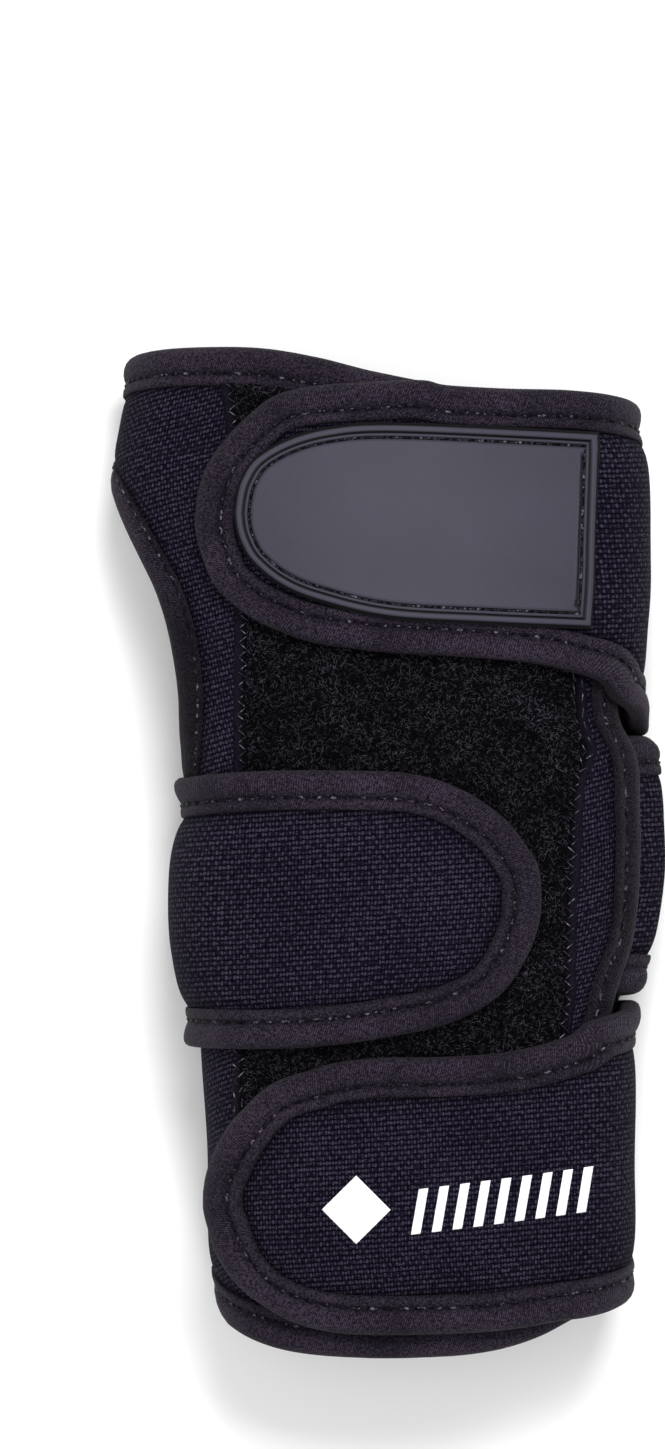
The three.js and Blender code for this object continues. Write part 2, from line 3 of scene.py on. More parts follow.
import bmesh
import bpy
import numpy as np
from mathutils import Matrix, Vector


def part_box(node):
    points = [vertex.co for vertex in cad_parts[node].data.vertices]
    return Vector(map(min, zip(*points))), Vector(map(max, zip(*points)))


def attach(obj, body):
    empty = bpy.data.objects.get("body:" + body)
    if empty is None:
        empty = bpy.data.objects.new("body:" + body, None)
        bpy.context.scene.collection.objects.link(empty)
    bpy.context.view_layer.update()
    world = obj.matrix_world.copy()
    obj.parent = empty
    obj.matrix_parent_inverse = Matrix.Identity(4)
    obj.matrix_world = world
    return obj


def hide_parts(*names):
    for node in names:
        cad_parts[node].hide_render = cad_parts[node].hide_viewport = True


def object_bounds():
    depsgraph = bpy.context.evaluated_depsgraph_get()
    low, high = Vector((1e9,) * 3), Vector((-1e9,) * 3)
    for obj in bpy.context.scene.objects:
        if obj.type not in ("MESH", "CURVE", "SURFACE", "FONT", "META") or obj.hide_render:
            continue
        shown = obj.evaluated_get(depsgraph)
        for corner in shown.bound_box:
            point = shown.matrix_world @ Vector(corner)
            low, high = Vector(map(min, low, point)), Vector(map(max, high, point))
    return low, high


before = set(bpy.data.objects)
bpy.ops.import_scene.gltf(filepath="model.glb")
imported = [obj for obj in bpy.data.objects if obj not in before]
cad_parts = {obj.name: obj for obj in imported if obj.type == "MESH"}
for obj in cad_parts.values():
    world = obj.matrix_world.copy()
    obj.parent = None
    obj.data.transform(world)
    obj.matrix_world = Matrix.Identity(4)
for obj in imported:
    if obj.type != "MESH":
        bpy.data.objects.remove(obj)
LOW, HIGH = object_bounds()
BODY_LOW, BODY_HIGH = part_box("body_shell")

# Driving sizes, in metres: the overall ones come from the frame
LENGTH = HIGH.y - LOW.y
WIDTH = HIGH.x - LOW.x
DEPTH = BODY_HIGH.z - BODY_LOW.z
REST_HEIGHT = BODY_LOW.z
MM = 0.001
BODY_WALL = 3 * MM
STRAP_WALL = 3 * MM
PILE_DEPTH = 1.2 * MM
BINDING_WIDTH = 7.4 * MM
THUMB_BINDING_WIDTH = 6.4 * MM
BINDING_PROUD = 0.6 * MM
CLEARANCE = 0.3 * MM
THUMB_CORNER = 14 * MM
LITTLE_CORNER = 11 * MM
PALM_CORNER = 15 * MM
CROWN_ANGLE = math.radians(20)
THUMB_HOLE_HEIGHT = 37 * MM
SLIT_WIDTH = 12 * MM
WELD = 0.002 * MM

# Heights above the body cloth at which the layers lie
PANEL_BASE = CLEARANCE
STRAP_ON_PANEL = PANEL_BASE + PILE_DEPTH + CLEARANCE
STRAP_ON_BODY = BINDING_PROUD + CLEARANCE
TUCKED_BASE = -(BODY_WALL + BINDING_PROUD + 2 * CLEARANCE + STRAP_WALL)
STRAP_TOP = STRAP_ON_PANEL + STRAP_WALL

# Turns round the hand from the middle of the back, where edges lie and where straps step up or down
LITTLE_TURN = 0.2
SLIT_TURN = 0.3
THUMB_TURN = -0.2
PALM_TURN_MIDDLE = -0.5
PALM_TURN_FAR = -0.6
SLIT_SET_BACK = 0.04
CLOSING_DROP = (0.22, 0.32)
MIDDLE_RISE = (-0.262, -0.182)
TUCK_RUN = 0.042

# Seams: how far apart the stitches are, how far they lie from the edge and how high
STITCH_PITCH = 3.0 * MM
END_PITCH = 2.1 * MM
LONG_PITCH = 3.6 * MM
STITCH_INSET = 5.1 * MM
THUMB_STITCH_INSET = 5.6 * MM
STITCH_LIFT = 0.3 * MM
TAB_STITCH_PITCH = 2.4 * MM
TAB_STITCH_INSET = 2.3 * MM
TAB_STITCH_LIFT = 0.62 * MM
ZIGZAG_LEG = 1.4 * MM
ZIGZAG_NEAR = 1.2 * MM
ZIGZAG_FAR = 2.9 * MM

# One stitch: its length as a share of the pitch, then its width and height
STITCH_SIZE = (0.72, 0.6 * MM, 0.42 * MM)
LONG_STITCH_SIZE = (0.7, 0.95 * MM, 0.5 * MM)
TAB_STITCH_SIZE = (0.78, 0.6 * MM, 0.34 * MM)
ZIGZAG_SIZE = (0.92, 0.24 * MM, 0.2 * MM)

# How the cloth swells away from its seams, wanders and is pressed in, and how far the painted
# shade beside a seam reaches
CANVAS_PUFF = 1.0 * MM
BODY_PUFF = 0.55 * MM
PUFF_REACH = 3.2 * MM
SEAM_PINCH = 0.25 * MM
PINCH_REACH = 0.8 * MM
CANVAS_SWING = 0.16 * MM
BODY_SWING = 0.12 * MM
PAINTED_SHADE_REACH = 0.9 * MM
TABLE_PRESS = 0.5 * MM
BODY_SEED = 3
UPPER_SEED = 21
LOWER_SEED = 31
MIDDLE_SEED = 41

# Where the middle strap turns round the thumb side its edges are drawn in, more towards the fingers
PRESS_LEAST = 1.1 * MM
PRESS_MORE = 0.9 * MM
PRESS_REACH = 5 * MM
PRESS_ALONG = (-0.18, 0.06)
PRESS_START = (0.14, 0.2)
PRESS_END = (0.3, 0.36)

# Threads of the weave, its slant on each cloth, and the binding's ribs
WARP_PITCH = 0.62 * MM
WEFT_PITCH = 0.95 * MM
BODY_GRAIN = math.tan(math.radians(15))
UPPER_GRAIN = math.tan(math.radians(3))
LOWER_GRAIN = math.tan(math.radians(4.4))
RIB_PITCH = 0.45 * MM

# The pile: its pale sewn margin, and loops in two pieces above and below a share of the length
MARGIN_WIDTH = 1.6 * MM
MARGIN_TINT = (0.0065, 0.0048, 0.0105)
PILE_SEED = 11
PILE_LUMPS = 0.16 * MM
PILE_ROUND = 2.2 * MM
PILE_SPLIT = 0.1
LOOPS_PER_AREA = 4.0e6
LOOP_RADIUS = 0.42 * MM
FIBRE_RADIUS = 0.05 * MM
LOOP_SEEDS = {"finger": 7, "wrist": 8}

# How fine the meshes and the searches are
BISECTIONS = 34
CURVE_STEPS = 24
BODY_CELLS = (150, 190)
PANEL_CELLS = (200, 90)
LOOP_CELLS = (120, 52)
STRAP_CELLS_ACROSS = 46
STRAP_CELL = 0.75 * MM
HOLE_CELL = 0.7 * MM
TAB_CELL = 0.9 * MM
TAB_CROWD = 1.3
FINGER_END_STEPS = 260
EDGE_STEPS = 240

# The photograph's frame: its pixel size on the glove and the glove's middle in it
PIXEL = 0.19 * MM
PHOTO_WIDTH = 665
PHOTO_HEIGHT = 1449
GLOVE_PIXEL = (387.0, 850.0)

# The print: a lozenge and a row of slanted bars, placed and measured in pixels of the photograph
LOZENGE_PIXEL = (356, 1205)
LOZENGE_REACH = 34
BARS_START = (414, 1207)
BARS_END = (588, 1186)
BARS_TALL = 44
BAR_COUNT = 9
BAR_SHARE = 0.46
BAR_LEAN = 0.3
PRINT_THICK = 0.12 * MM

# Light and camera
LAMPS = [
    ("key", (0.15, 0.55, 1.1), 0.4, 13.0),
    ("fill", (-0.2, -0.1, 1.2), 0.6, 4.0),
    ("back", (0.1, -0.7, 0.9), 0.6, 3.5),
]
LAMP_AIM = (0, 0, 0.03)
WORLD_LIGHT = 0.45
FLOOR_SIZE = 4
FLOOR_DROP = 0.2 * MM
CAMERA_DISTANCE = 1.6
FOCUS_HEIGHT = 35 * MM
SENSOR_WIDTH = 36

# The body's outer form: shares of length, width, width and depth
BODY_SECTIONS = {
    "along": [0.5, 0.442, 0.418, 0.398, 0.375, 0.313, 0.261, 0.208, 0.156, 0.13, 0.112, 0.099,
              0.079, 0.055, 0.03, -0.021, -0.083, -0.119, -0.14, -0.16, -0.178, -0.198, -0.302,
              -0.391, -0.42, -0.459, -0.5],
    "thumb_side": [-0.468, -0.481, -0.487, -0.495, -0.4985, -0.48, -0.454, -0.428, -0.401, -0.3895,
                   -0.382, -0.3765, -0.3685, -0.356, -0.35, -0.351, -0.348, -0.3415, -0.3375,
                   -0.332, -0.3295, -0.334, -0.321, -0.321, -0.315, -0.298, -0.288],
    "little_side": [0.407, 0.413, 0.414, 0.424, 0.428, 0.428, 0.4275, 0.4215, 0.4225, 0.4265,
                    0.4395, 0.454, 0.461, 0.461, 0.461, 0.463, 0.45, 0.435, 0.423, 0.41, 0.404,
                    0.401, 0.396, 0.398, 0.399, 0.386, 0.367],
    "deep": [0.74, 0.79, 0.802, 0.811, 0.82, 0.857, 0.88, 0.905, 0.93, 0.94, 0.9475, 0.951, 0.956,
             0.961, 0.966, 0.976, 0.988, 0.995, 1, 1, 1, 1, 1, 0.988, 0.983, 0.976, 0.964],
}

# Outlines round the hand: turns from the middle of the back, and shares of the length
FINGER_EDGE = [(-0.62, 0.436), (-0.5, 0.438), (-0.4, 0.448), (-0.33, 0.465), (-0.28, 0.482),
               (-0.25, 0.491), (-0.2, 0.4975), (-0.15, 0.4995), (-0.1, 0.4975), (-0.05, 0.488),
               (0, 0.474), (0.08, 0.458), (0.16, 0.4515), (0.25, 0.445)]
WRIST_EDGE = [(-0.62, -0.462), (-0.5, -0.468), (-0.36, -0.46), (-0.25, -0.456), (-0.2, -0.474),
              (-0.13, -0.494), (-0.05, -0.5), (0.03, -0.4985), (0.07, -0.495), (0.1, -0.489),
              (0.13, -0.479), (0.16, -0.464), (0.2, -0.45), (0.25, -0.444)]

# Outlines that show from the front: shares of the width and of the length
BACK_EDGE = [(0.395, 0.5), (0.402, 0.45), (0.412, 0.4), (0.419, 0.287), (0.4165, 0.161),
             (0.4205, 0.13), (0.435, 0.112), (0.448, 0.099), (0.4555, 0.079), (0.456, 0.045),
             (0.4575, -0.019), (0.4435, -0.09), (0.41, -0.149), (0.388, -0.208), (0.382, -0.33),
             (0.36, -0.5)]
PANEL_THUMB_EDGE = [(-0.2935, 0.5), (-0.281, 0.42), (-0.281, 0.16), (-0.2775, 0.06),
                    (-0.276, -0.2), (-0.268, -0.34), (-0.225, -0.43), (-0.2, -0.5)]
PANEL_LITTLE_EDGE = [(0.335, 0.5), (0.345, 0.35), (0.353, 0.2), (0.354, 0.1), (0.335, -0.15),
                     (0.285, -0.5)]

# The thumb opening: share of the length, then how far it goes over and under the side's own line
THUMB_HOLE = [(0.3575, -0.12, 0.12), (0.352, -0.03, 0.22), (0.338, 0.06, 0.34),
              (0.316, 0.14, 0.47), (0.287, 0.21, 0.6), (0.25, 0.265, 0.7), (0.208, 0.27, 0.73),
              (0.156, 0.215, 0.68), (0.104, 0.11, 0.58), (0.062, 0, 0.47), (0.036, -0.09, 0.38),
              (0.0205, -0.17, 0.29), (0.0155, -0.23, 0.23)]

# Each strap's two edges from its free tip: first as seen from the front, then in turns
UPPER_TOP = [(-0.35, 0.318), (-0.346, 0.349), (-0.333, 0.375), (-0.303, 0.401), (-0.261, 0.426),
             (-0.205, 0.449), (-0.136, 0.4585), (-0.063, 0.4615), (0.06, 0.4645),
             (0.109, 0.4595), (0.221, 0.4565), (0.335, 0.4555), (0.43, 0.45)]
UPPER_TOP_WRAP = [(0.27, 0.437), (0.34, 0.43), (0.5, 0.424)]
UPPER_FOOT = [(-0.35, 0.318), (-0.335, 0.287), (-0.317, 0.264), (-0.288, 0.2465),
              (-0.252, 0.231), (-0.205, 0.218), (-0.15, 0.207), (-0.103, 0.202), (0.002, 0.195),
              (0.132, 0.191), (0.263, 0.185), (0.344, 0.1755), (0.399, 0.166), (0.438, 0.145)]
UPPER_FOOT_WRAP = [(0.27, 0.1145), (0.34, 0.1145), (0.5, 0.1175)]
LOWER_TOP = [(-0.334, -0.337), (-0.33, -0.322), (-0.321, -0.305), (-0.306, -0.285),
             (-0.277, -0.2625), (-0.237, -0.24), (-0.196, -0.225), (-0.132, -0.214),
             (-0.096, -0.208), (-0.013, -0.203), (0.107, -0.202), (0.225, -0.197),
             (0.332, -0.183), (0.391, -0.166)]
LOWER_TOP_WRAP = [(0.26, -0.1515), (0.34, -0.161), (0.5, -0.2)]
LOWER_FOOT = [(-0.334, -0.337), (-0.334, -0.355), (-0.326, -0.374), (-0.313, -0.397),
              (-0.284, -0.422), (-0.237, -0.4445), (-0.185, -0.461), (-0.132, -0.47),
              (-0.063, -0.475), (0.06, -0.475), (0.197, -0.472), (0.317, -0.463),
              (0.379, -0.459)]
LOWER_FOOT_WRAP = [(0.25, -0.441), (0.34, -0.437), (0.5, -0.437)]
MIDDLE_TOP = [(0.279, -0.038), (0.274, -0.015), (0.2554, 0.002), (0.214, 0.031), (0.136, 0.06),
              (0.047, 0.0755), (-0.073, 0.079), (-0.252, 0.078)]
MIDDLE_TOP_WRAP = [(-0.25, 0.069), (-0.34, 0.074), (-0.5, 0.092), (-0.64, 0.107),
                   (-0.74, 0.1128), (-0.86, 0.1133)]
MIDDLE_FOOT = [(0.279, -0.038), (0.2755, -0.07), (0.248, -0.109), (0.196, -0.145),
               (0.107, -0.17), (-0.013, -0.184), (-0.103, -0.191), (-0.221, -0.195)]
MIDDLE_FOOT_WRAP = [(-0.25, -0.195), (-0.34, -0.191), (-0.5, -0.171), (-0.64, -0.154),
                    (-0.74, -0.145), (-0.86, -0.14)]
TAB_TOP = [(-0.2717, 0.333), (-0.268, 0.35), (-0.259, 0.3665), (-0.233, 0.3865),
           (-0.1775, 0.404), (-0.103, 0.415), (0.002, 0.419), (0.2536, 0.414), (0.377, 0.411)]
TAB_FOOT = [(-0.2717, 0.333), (-0.268, 0.3165), (-0.257, 0.3), (-0.239, 0.285),
            (-0.194, 0.2645), (-0.1286, 0.2485), (0.002, 0.2315), (0.18, 0.2255),
            (0.364, 0.2215)]

# The binding's section in millimetres: inward distance, and height over the cloth's face
ROLL = [(0.0, -0.75), (0.12, -0.2), (0.45, 0.35), (1.1, 0.78), (2.0, 0.98), (3.0, 0.92),
        (3.9, 0.68), (4.6, 0.34), (5.1, 0.2), (5.5, 0.4), (6.0, 0.56), (6.7, 0.56), (7.2, 0.46),
        (7.42, 0.25), (7.46, -0.1)]
# The thumb opening's is narrower, and sewn closer to its inner edge
THUMB_ROLL = [(0.0, -0.75), (0.12, -0.2), (0.45, 0.35), (1.1, 0.78), (2.0, 0.98), (3.2, 0.92),
              (4.2, 0.7), (5.0, 0.4), (5.5, 0.2), (5.85, 0.36), (6.15, 0.42), (6.4, 0.26),
              (6.46, -0.1)]

# The tab's rim and stitch channel in millimetres: inward distance, height over its underside, painted
# shade. The first rings are a flange outside the outline, painted black as the shadow under the tab
TAB_PROFILE = [(-0.6, 0.0, 1.0), (-0.6, 0.1, 1.0), (0.0, 0.15, 1.0), (0.0, 0.9, 0.1),
               (0.12, 1.25, 0.0), (0.4, 1.42, 0.0), (0.8, 1.42, 0.0), (1.05, 1.25, 0.0),
               (1.15, 0.45, 1.0), (1.45, 0.45, 1.0), (1.55, 0.95, 0.1), (1.95, 0.95, 0.1),
               (2.05, 0.5, 0.9), (2.55, 0.5, 0.9), (2.65, 0.98, 0.1), (3.2, 1.02, 0.0)]
TAB_LIFT = 1.0 * MM


def read(keys, values, at):
    """Smooth value at a place, through a short table."""
    keys, values = np.asarray(keys, float), np.asarray(values, float)
    if keys[0] > keys[-1]:
        keys, values = keys[::-1], values[::-1]
    last = len(keys) - 1
    at = np.clip(at, keys[0], keys[-1])
    i = np.clip(np.searchsorted(keys, at, side="right") - 1, 0, last - 1)
    before, after = np.maximum(np.arange(last + 1) - 1, 0), np.minimum(np.arange(last + 1) + 1, last)
    slope = (values[after] - values[before]) / (keys[after] - keys[before])
    span = keys[i + 1] - keys[i]
    t = (at - keys[i]) / span
    blend = t * t * (3 - 2 * t)
    curl = t * (1 - t) * span * (slope[i] * (1 - t) - slope[i + 1] * t)
    return values[i] + (values[i + 1] - values[i]) * blend + curl


def half_section(side, y):
    """One half of the cross-section, from the middle of the back to the middle of the palm."""
    left, right, high = (
        size * read(BODY_SECTIONS["along"], BODY_SECTIONS[column], y / LENGTH)
        for size, column in ((WIDTH, "thumb_side"), (WIDTH, "little_side"), (DEPTH, "deep"))
    )
    lean = 1 - math.sin(CROWN_ANGLE)
    left_end = left + THUMB_CORNER * lean
    right_end = right - LITTLE_CORNER * lean
    middle = (left_end + right_end) / 2
    crown = (right_end - left_end) / 2 / math.sin(CROWN_ANGLE)
    corner = np.where(side > 0, LITTLE_CORNER, THUMB_CORNER)
    reach = np.where(side > 0, right - middle, middle - left)
    shoulder = high - crown * (1 - math.cos(CROWN_ANGLE)) - corner * math.cos(CROWN_ANGLE)
    spans = [
        crown * CROWN_ANGLE,
        corner * (math.pi / 2 - CROWN_ANGLE),
        shoulder - PALM_CORNER,
        np.full_like(reach, PALM_CORNER * math.pi / 2),
        reach - PALM_CORNER,
    ]
    return middle, crown, high, corner, reach, shoulder, spans


def place(turn, y, height):
    """Points at turns round the hand, places along it and heights above the body cloth.

    Cloth that would sink into the table is pressed flat on it.
    """
    turn, y, height = np.broadcast_arrays(
        np.asarray(turn, float), np.asarray(y, float), np.asarray(height, float)
    )
    wrapped = turn - np.round(turn)
    side = np.where(wrapped < 0, -1.0, 1.0)
    middle, crown, high, corner, reach, shoulder, spans = half_section(side, y)
    run = np.abs(wrapped) * 2 * sum(spans)
    ends = np.cumsum(np.stack(spans), axis=0)
    part = np.cumprod(run > ends[:4], axis=0).sum(axis=0)
    on_part = [part == 0, part == 1, part == 2, part == 3]
    down_side = math.pi / 2
    angle = np.select(on_part, [
        run / crown,
        CROWN_ANGLE + (run - ends[0]) / corner,
        down_side,
        down_side + (run - ends[2]) / PALM_CORNER,
    ], math.pi)
    radius = np.select(on_part, [crown, corner, 0.0, PALM_CORNER], 0.0)
    across = np.select(on_part, [0.0, reach - corner, reach, reach - PALM_CORNER],
                       reach - PALM_CORNER - (run - ends[3]))
    up = np.select(on_part, [high - crown, shoulder, shoulder - (run - ends[1]), PALM_CORNER], 0.0)
    across = across + (radius + height) * np.sin(angle)
    up = REST_HEIGHT + up + (radius + height) * np.cos(angle)
    pressed = TABLE_PRESS * np.exp(np.minimum(up / TABLE_PRESS - 1, 0))
    up = np.where(up < TABLE_PRESS, pressed, up)
    return np.stack([middle + side * across, y, up], axis=-1)


def side_turn(side, y):
    """The turn at which a side of the hand stands upright."""
    spans = half_section(np.asarray(side, float), y)[-1]
    return side * (spans[0] + spans[1]) / sum(spans) / 2


def turn_at_front(x, y, height):
    """The turn on the back of the hand at which a layer shows at a given place across."""
    x, y = np.broadcast_arrays(x, y)
    low, high = side_turn(-1.0, y), side_turn(1.0, y)
    for _ in range(BISECTIONS):
        turn = (low + high) / 2
        short = place(turn, y, height)[..., 0] < x
        low, high = np.where(short, turn, low), np.where(short, high, turn)
    return (low + high) / 2


def local_girth(turn, y):
    wrapped = turn - np.round(turn)
    return 2 * sum(half_section(np.where(wrapped < 0, -1.0, 1.0), y)[-1])


GIRTH = float(local_girth(0.1, 0.0) + local_girth(-0.1, 0.0)) / 2


# Flat patterns: cloth laid out in metres, a turn as long as the mean girth, and length along it


def on_cloth(turn, y):
    return np.stack([turn * GIRTH, y], axis=-1)


def lay(pattern, height):
    """Points of the flat pattern put round the hand, at heights above the body cloth."""
    return place(pattern[..., 0] / GIRTH, pattern[..., 1], height)


def on_front(rows, height):
    """Flat pattern points of an outline that shows from the front."""
    across, along = np.array(rows).T
    y = along * LENGTH
    return on_cloth(turn_at_front(across * WIDTH, y, height), y)


def strap_edge(front, wrap):
    return np.concatenate([on_front(front, STRAP_TOP), np.array(wrap) * (GIRTH, LENGTH)])


def run_along(path):
    """How far along a path each of its points lies."""
    return np.concatenate([[0], np.cumsum(np.linalg.norm(np.diff(path, axis=0), axis=1))])


def resample(path, keys, at):
    """The path's points at other values of its keys."""
    return np.stack([np.interp(at, keys, column) for column in path.T], axis=-1)


def smooth_path(points, step):
    """A smooth curve through points, resampled at even steps."""
    fine = []
    t = np.linspace(0, 1, CURVE_STEPS, endpoint=False)[:, None]
    for i in range(len(points) - 1):
        p0, p1 = points[max(i - 1, 0)], points[i]
        p2, p3 = points[i + 1], points[min(i + 2, len(points) - 1)]
        a, b = (p2 - p0) / 2, (p3 - p1) / 2
        cubic = (2 * p1 - 2 * p2 + a + b) * t**3 + (-3 * p1 + 3 * p2 - 2 * a - b) * t**2
        fine.append(cubic + a * t + p1)
    fine = np.concatenate(fine + [points[-1:]])
    run = run_along(fine)
    count = max(int(round(run[-1] / step)), 4)
    return resample(fine, run, np.linspace(0, run[-1], count + 1))


def inset(outline, distance, closed=False):
    """Each point of an outline moved to the left of its direction by a distance on the cloth."""
    if closed:
        before, after = np.roll(outline, 1, axis=0), np.roll(outline, -1, axis=0)
    else:
        before = np.concatenate([outline[:1], outline[:-1]])
        after = np.concatenate([outline[1:], outline[-1:]])
    stretch = local_girth(outline[:, 0] / GIRTH, outline[:, 1]) / GIRTH
    run = np.stack([(after[:, 0] - before[:, 0]) * stretch, after[:, 1] - before[:, 1]], axis=-1)
    run /= np.linalg.norm(run, axis=1, keepdims=True)
    left = outline[:, 0] - run[:, 1] * distance / stretch
    return np.stack([left, outline[:, 1] + run[:, 0] * distance], axis=-1)


def leftward(outline):
    """The outline, turned where needed so that its inside is on its left."""
    x, y = outline.T
    area = np.sum(x * np.roll(y, -1) - np.roll(x, -1) * y)
    return outline if area > 0 else outline[::-1]


def distance_to(outline, pattern, closed=True):
    """How far each pattern point lies from an outline, in metres of cloth."""
    flat = pattern.reshape(-1, 2)
    best = np.full(len(flat), np.inf)
    ends = np.roll(outline, -1, axis=0) if closed else outline[1:]
    for a, b in zip(outline, ends):
        edge = b - a
        t = np.clip(((flat - a) @ edge) / max(edge @ edge, 1e-18), 0, 1)
        best = np.minimum(best, np.linalg.norm(flat - a - t[:, None] * edge, axis=1))
    return best.reshape(pattern.shape[:-1])


def inside(outline, pattern):
    """Which pattern points lie inside a closed outline."""
    x, y = pattern[..., 0], pattern[..., 1]
    hit = np.zeros(x.shape, bool)
    for (ax, ay), (bx, by) in zip(outline, np.roll(outline, -1, axis=0)):
        if ay == by:
            continue
        crossing = (ay > y) != (by > y)
        hit ^= crossing & (x < (bx - ax) * (y - ay) / (by - ay) + ax)
    return hit


def ease(start, end, value):
    t = np.clip((value - start) / (end - start), 0, 1)
    return t * t * (3 - 2 * t)


def unevenness(pattern, seed, scale=26 * MM):
    """A gentle wandering of the cloth's surface, from -1 to 1."""
    rng = np.random.default_rng(seed)
    waves = 5
    total = 0
    for _ in range(waves):
        way = rng.uniform(0, 2 * math.pi)
        turns = 2 * math.pi / (scale * rng.uniform(0.5, 1.6))
        slope = pattern[..., 0] * math.cos(way) + pattern[..., 1] * math.sin(way)
        total = total + np.sin(slope * turns + rng.uniform(0, 2 * math.pi))
    return total / waves


def puff(distance, amount=CANVAS_PUFF):
    """How high cloth stands at a distance from its seam."""
    away = np.maximum(distance, 0)
    return amount * (1 - np.exp(-away / PUFF_REACH)) - SEAM_PINCH * np.exp(-away / PINCH_REACH)


# Edges of the body and bases of the straps


def finger_y(turn):
    return LENGTH * read(*np.array(FINGER_EDGE).T, turn)


def wrist_y(turn):
    return LENGTH * read(*np.array(WRIST_EDGE).T, turn)


def front_turn(rows, y, height):
    """The turn of an edge that is given as seen from the front."""
    across, along = np.array(rows).T
    return turn_at_front(WIDTH * read(along, across, y / LENGTH), y, height)


def back_edge_turn(y):
    return front_turn(BACK_EDGE, y, 0.0)


def palm_edge_turn(y):
    start = np.maximum(back_edge_turn(y), side_turn(1.0, y) - SLIT_SET_BACK)
    return start + SLIT_WIDTH / local_girth(SLIT_TURN, y) - 1


def body_base(pattern):
    return np.full(pattern.shape[:-1], -BODY_WALL)


def closing_base(pattern):
    turn = pattern[..., 0] / GIRTH
    return STRAP_ON_PANEL + (STRAP_ON_BODY - STRAP_ON_PANEL) * ease(*CLOSING_DROP, turn)


def middle_base(pattern):
    turn = pattern[..., 0] / GIRTH
    edge = back_edge_turn(pattern[..., 1]) - 1
    out = ease(edge, edge + TUCK_RUN, turn)
    body = TUCKED_BASE + (STRAP_ON_BODY - TUCKED_BASE) * out
    return body + (STRAP_ON_PANEL - body) * ease(*MIDDLE_RISE, turn)


def thumb_press(pattern):
    """How far the middle strap's edges are drawn in where they turn round the thumb side."""
    turn = -pattern[..., 0] / GIRTH
    start, end = PRESS_ALONG
    amount = PRESS_LEAST + PRESS_MORE * ease(start * LENGTH, end * LENGTH, pattern[..., 1])
    return amount * ease(*PRESS_START, turn) * (1 - ease(*PRESS_END, turn))


def no_press(pattern):
    return np.zeros(pattern.shape[:-1])


# Meshes


def new_object(name, data):
    made = bpy.data.objects.new(name, data)
    bpy.context.scene.collection.objects.link(made)
    return made


def mesh_object(name, points, faces, pattern, material=None, painted_shade_and_margin=None):
    """A smooth mesh with its flat pattern as a UV map, and per point painted shade and pile margin.
    """
    mesh = bpy.data.meshes.new(name)
    mesh.from_pydata(points.reshape(-1, 3).tolist(), [], faces)
    if material is not None:
        mesh.materials.append(material)
    mesh.polygons.foreach_set("use_smooth", [True] * len(mesh.polygons))
    if painted_shade_and_margin is not None:
        stored = mesh.attributes.new("painted_shade_and_margin", "FLOAT", "POINT")
        stored.data.foreach_set("value", np.asarray(painted_shade_and_margin, float).ravel())
    if pattern is not None:
        corner = np.empty(len(mesh.loops), int)
        mesh.loops.foreach_get("vertex_index", corner)
        layer = mesh.uv_layers.new(name="pattern")
        layer.data.foreach_set("uv", pattern.reshape(-1, 2)[corner].ravel())
    mesh.validate()
    mesh.update()
    return new_object(name, mesh)


def face_out(piece):
    """Turns a closed mesh's faces outwards, where its signed volume is negative."""
    mesh = piece.data
    mesh.calc_loop_triangles()
    co = np.empty(len(mesh.vertices) * 3)
    mesh.vertices.foreach_get("co", co)
    tri = np.empty(len(mesh.loop_triangles) * 3, int)
    mesh.loop_triangles.foreach_get("vertices", tri)
    a, b, c = co.reshape(-1, 3)[tri.reshape(-1, 3)].transpose(1, 0, 2)
    if np.einsum("ij,ij->i", a, np.cross(b, c)).sum() < 0:
        mesh.flip_normals()
    return piece


def edited(piece, edit):
    """The piece, after an edit of its mesh in bmesh."""
    bm = bmesh.new()
    bm.from_mesh(piece.data)
    edit(bm)
    bm.to_mesh(piece.data)
    bm.free()
    return piece


def drop_loose(bm):
    loose = [v for v in bm.verts if not v.link_faces]
    bmesh.ops.delete(bm, geom=loose, context="VERTS")


def weld(bm):
    bmesh.ops.remove_doubles(bm, verts=bm.verts[:], dist=WELD)
    bmesh.ops.recalc_face_normals(bm, faces=bm.faces[:])


def grid_index(shape):
    return np.arange(shape[0] * shape[1]).reshape(shape).tolist()


def cell(index, i, j):
    return index[i][j], index[i + 1][j], index[i + 1][j + 1], index[i][j + 1]


def quilt(name, pattern, top, foot, material, keep=None, painted_shade_and_margin=None, grain=0.0):
    """A cloth wall on the hand's form, over a grid of flat pattern points, with its weave's slant."""
    painted_shade_and_margin = np.zeros(top.shape) if painted_shade_and_margin is None else painted_shade_and_margin
    rows, over = pattern.shape[:2]
    points = np.concatenate([lay(pattern, top), lay(pattern, foot)])
    if keep is None:
        keep = np.ones((rows - 1, over - 1), bool)
    index = grid_index((rows, over))
    under = rows * over
    faces = []
    for i, j in zip(*np.nonzero(keep)):
        a, b, c, d = cell(index, i, j)
        faces.append((a, b, c, d))
        faces.append((under + a, under + d, under + c, under + b))
        if i == 0 or not keep[i - 1, j]:
            faces.append((a, d, under + d, under + a))
        if i == rows - 2 or not keep[i + 1, j]:
            faces.append((b, under + b, under + c, c))
        if j == 0 or not keep[i, j - 1]:
            faces.append((a, under + a, under + b, b))
        if j == over - 2 or not keep[i, j + 1]:
            faces.append((d, c, under + c, under + d))
    slanted = np.stack([pattern[..., 0], pattern[..., 1] - grain * pattern[..., 0]], axis=-1)
    both = np.concatenate([slanted, slanted])
    piece = mesh_object(name, points, faces, both, material, np.concatenate([painted_shade_and_margin, painted_shade_and_margin]))
    return face_out(edited(piece, drop_loose))


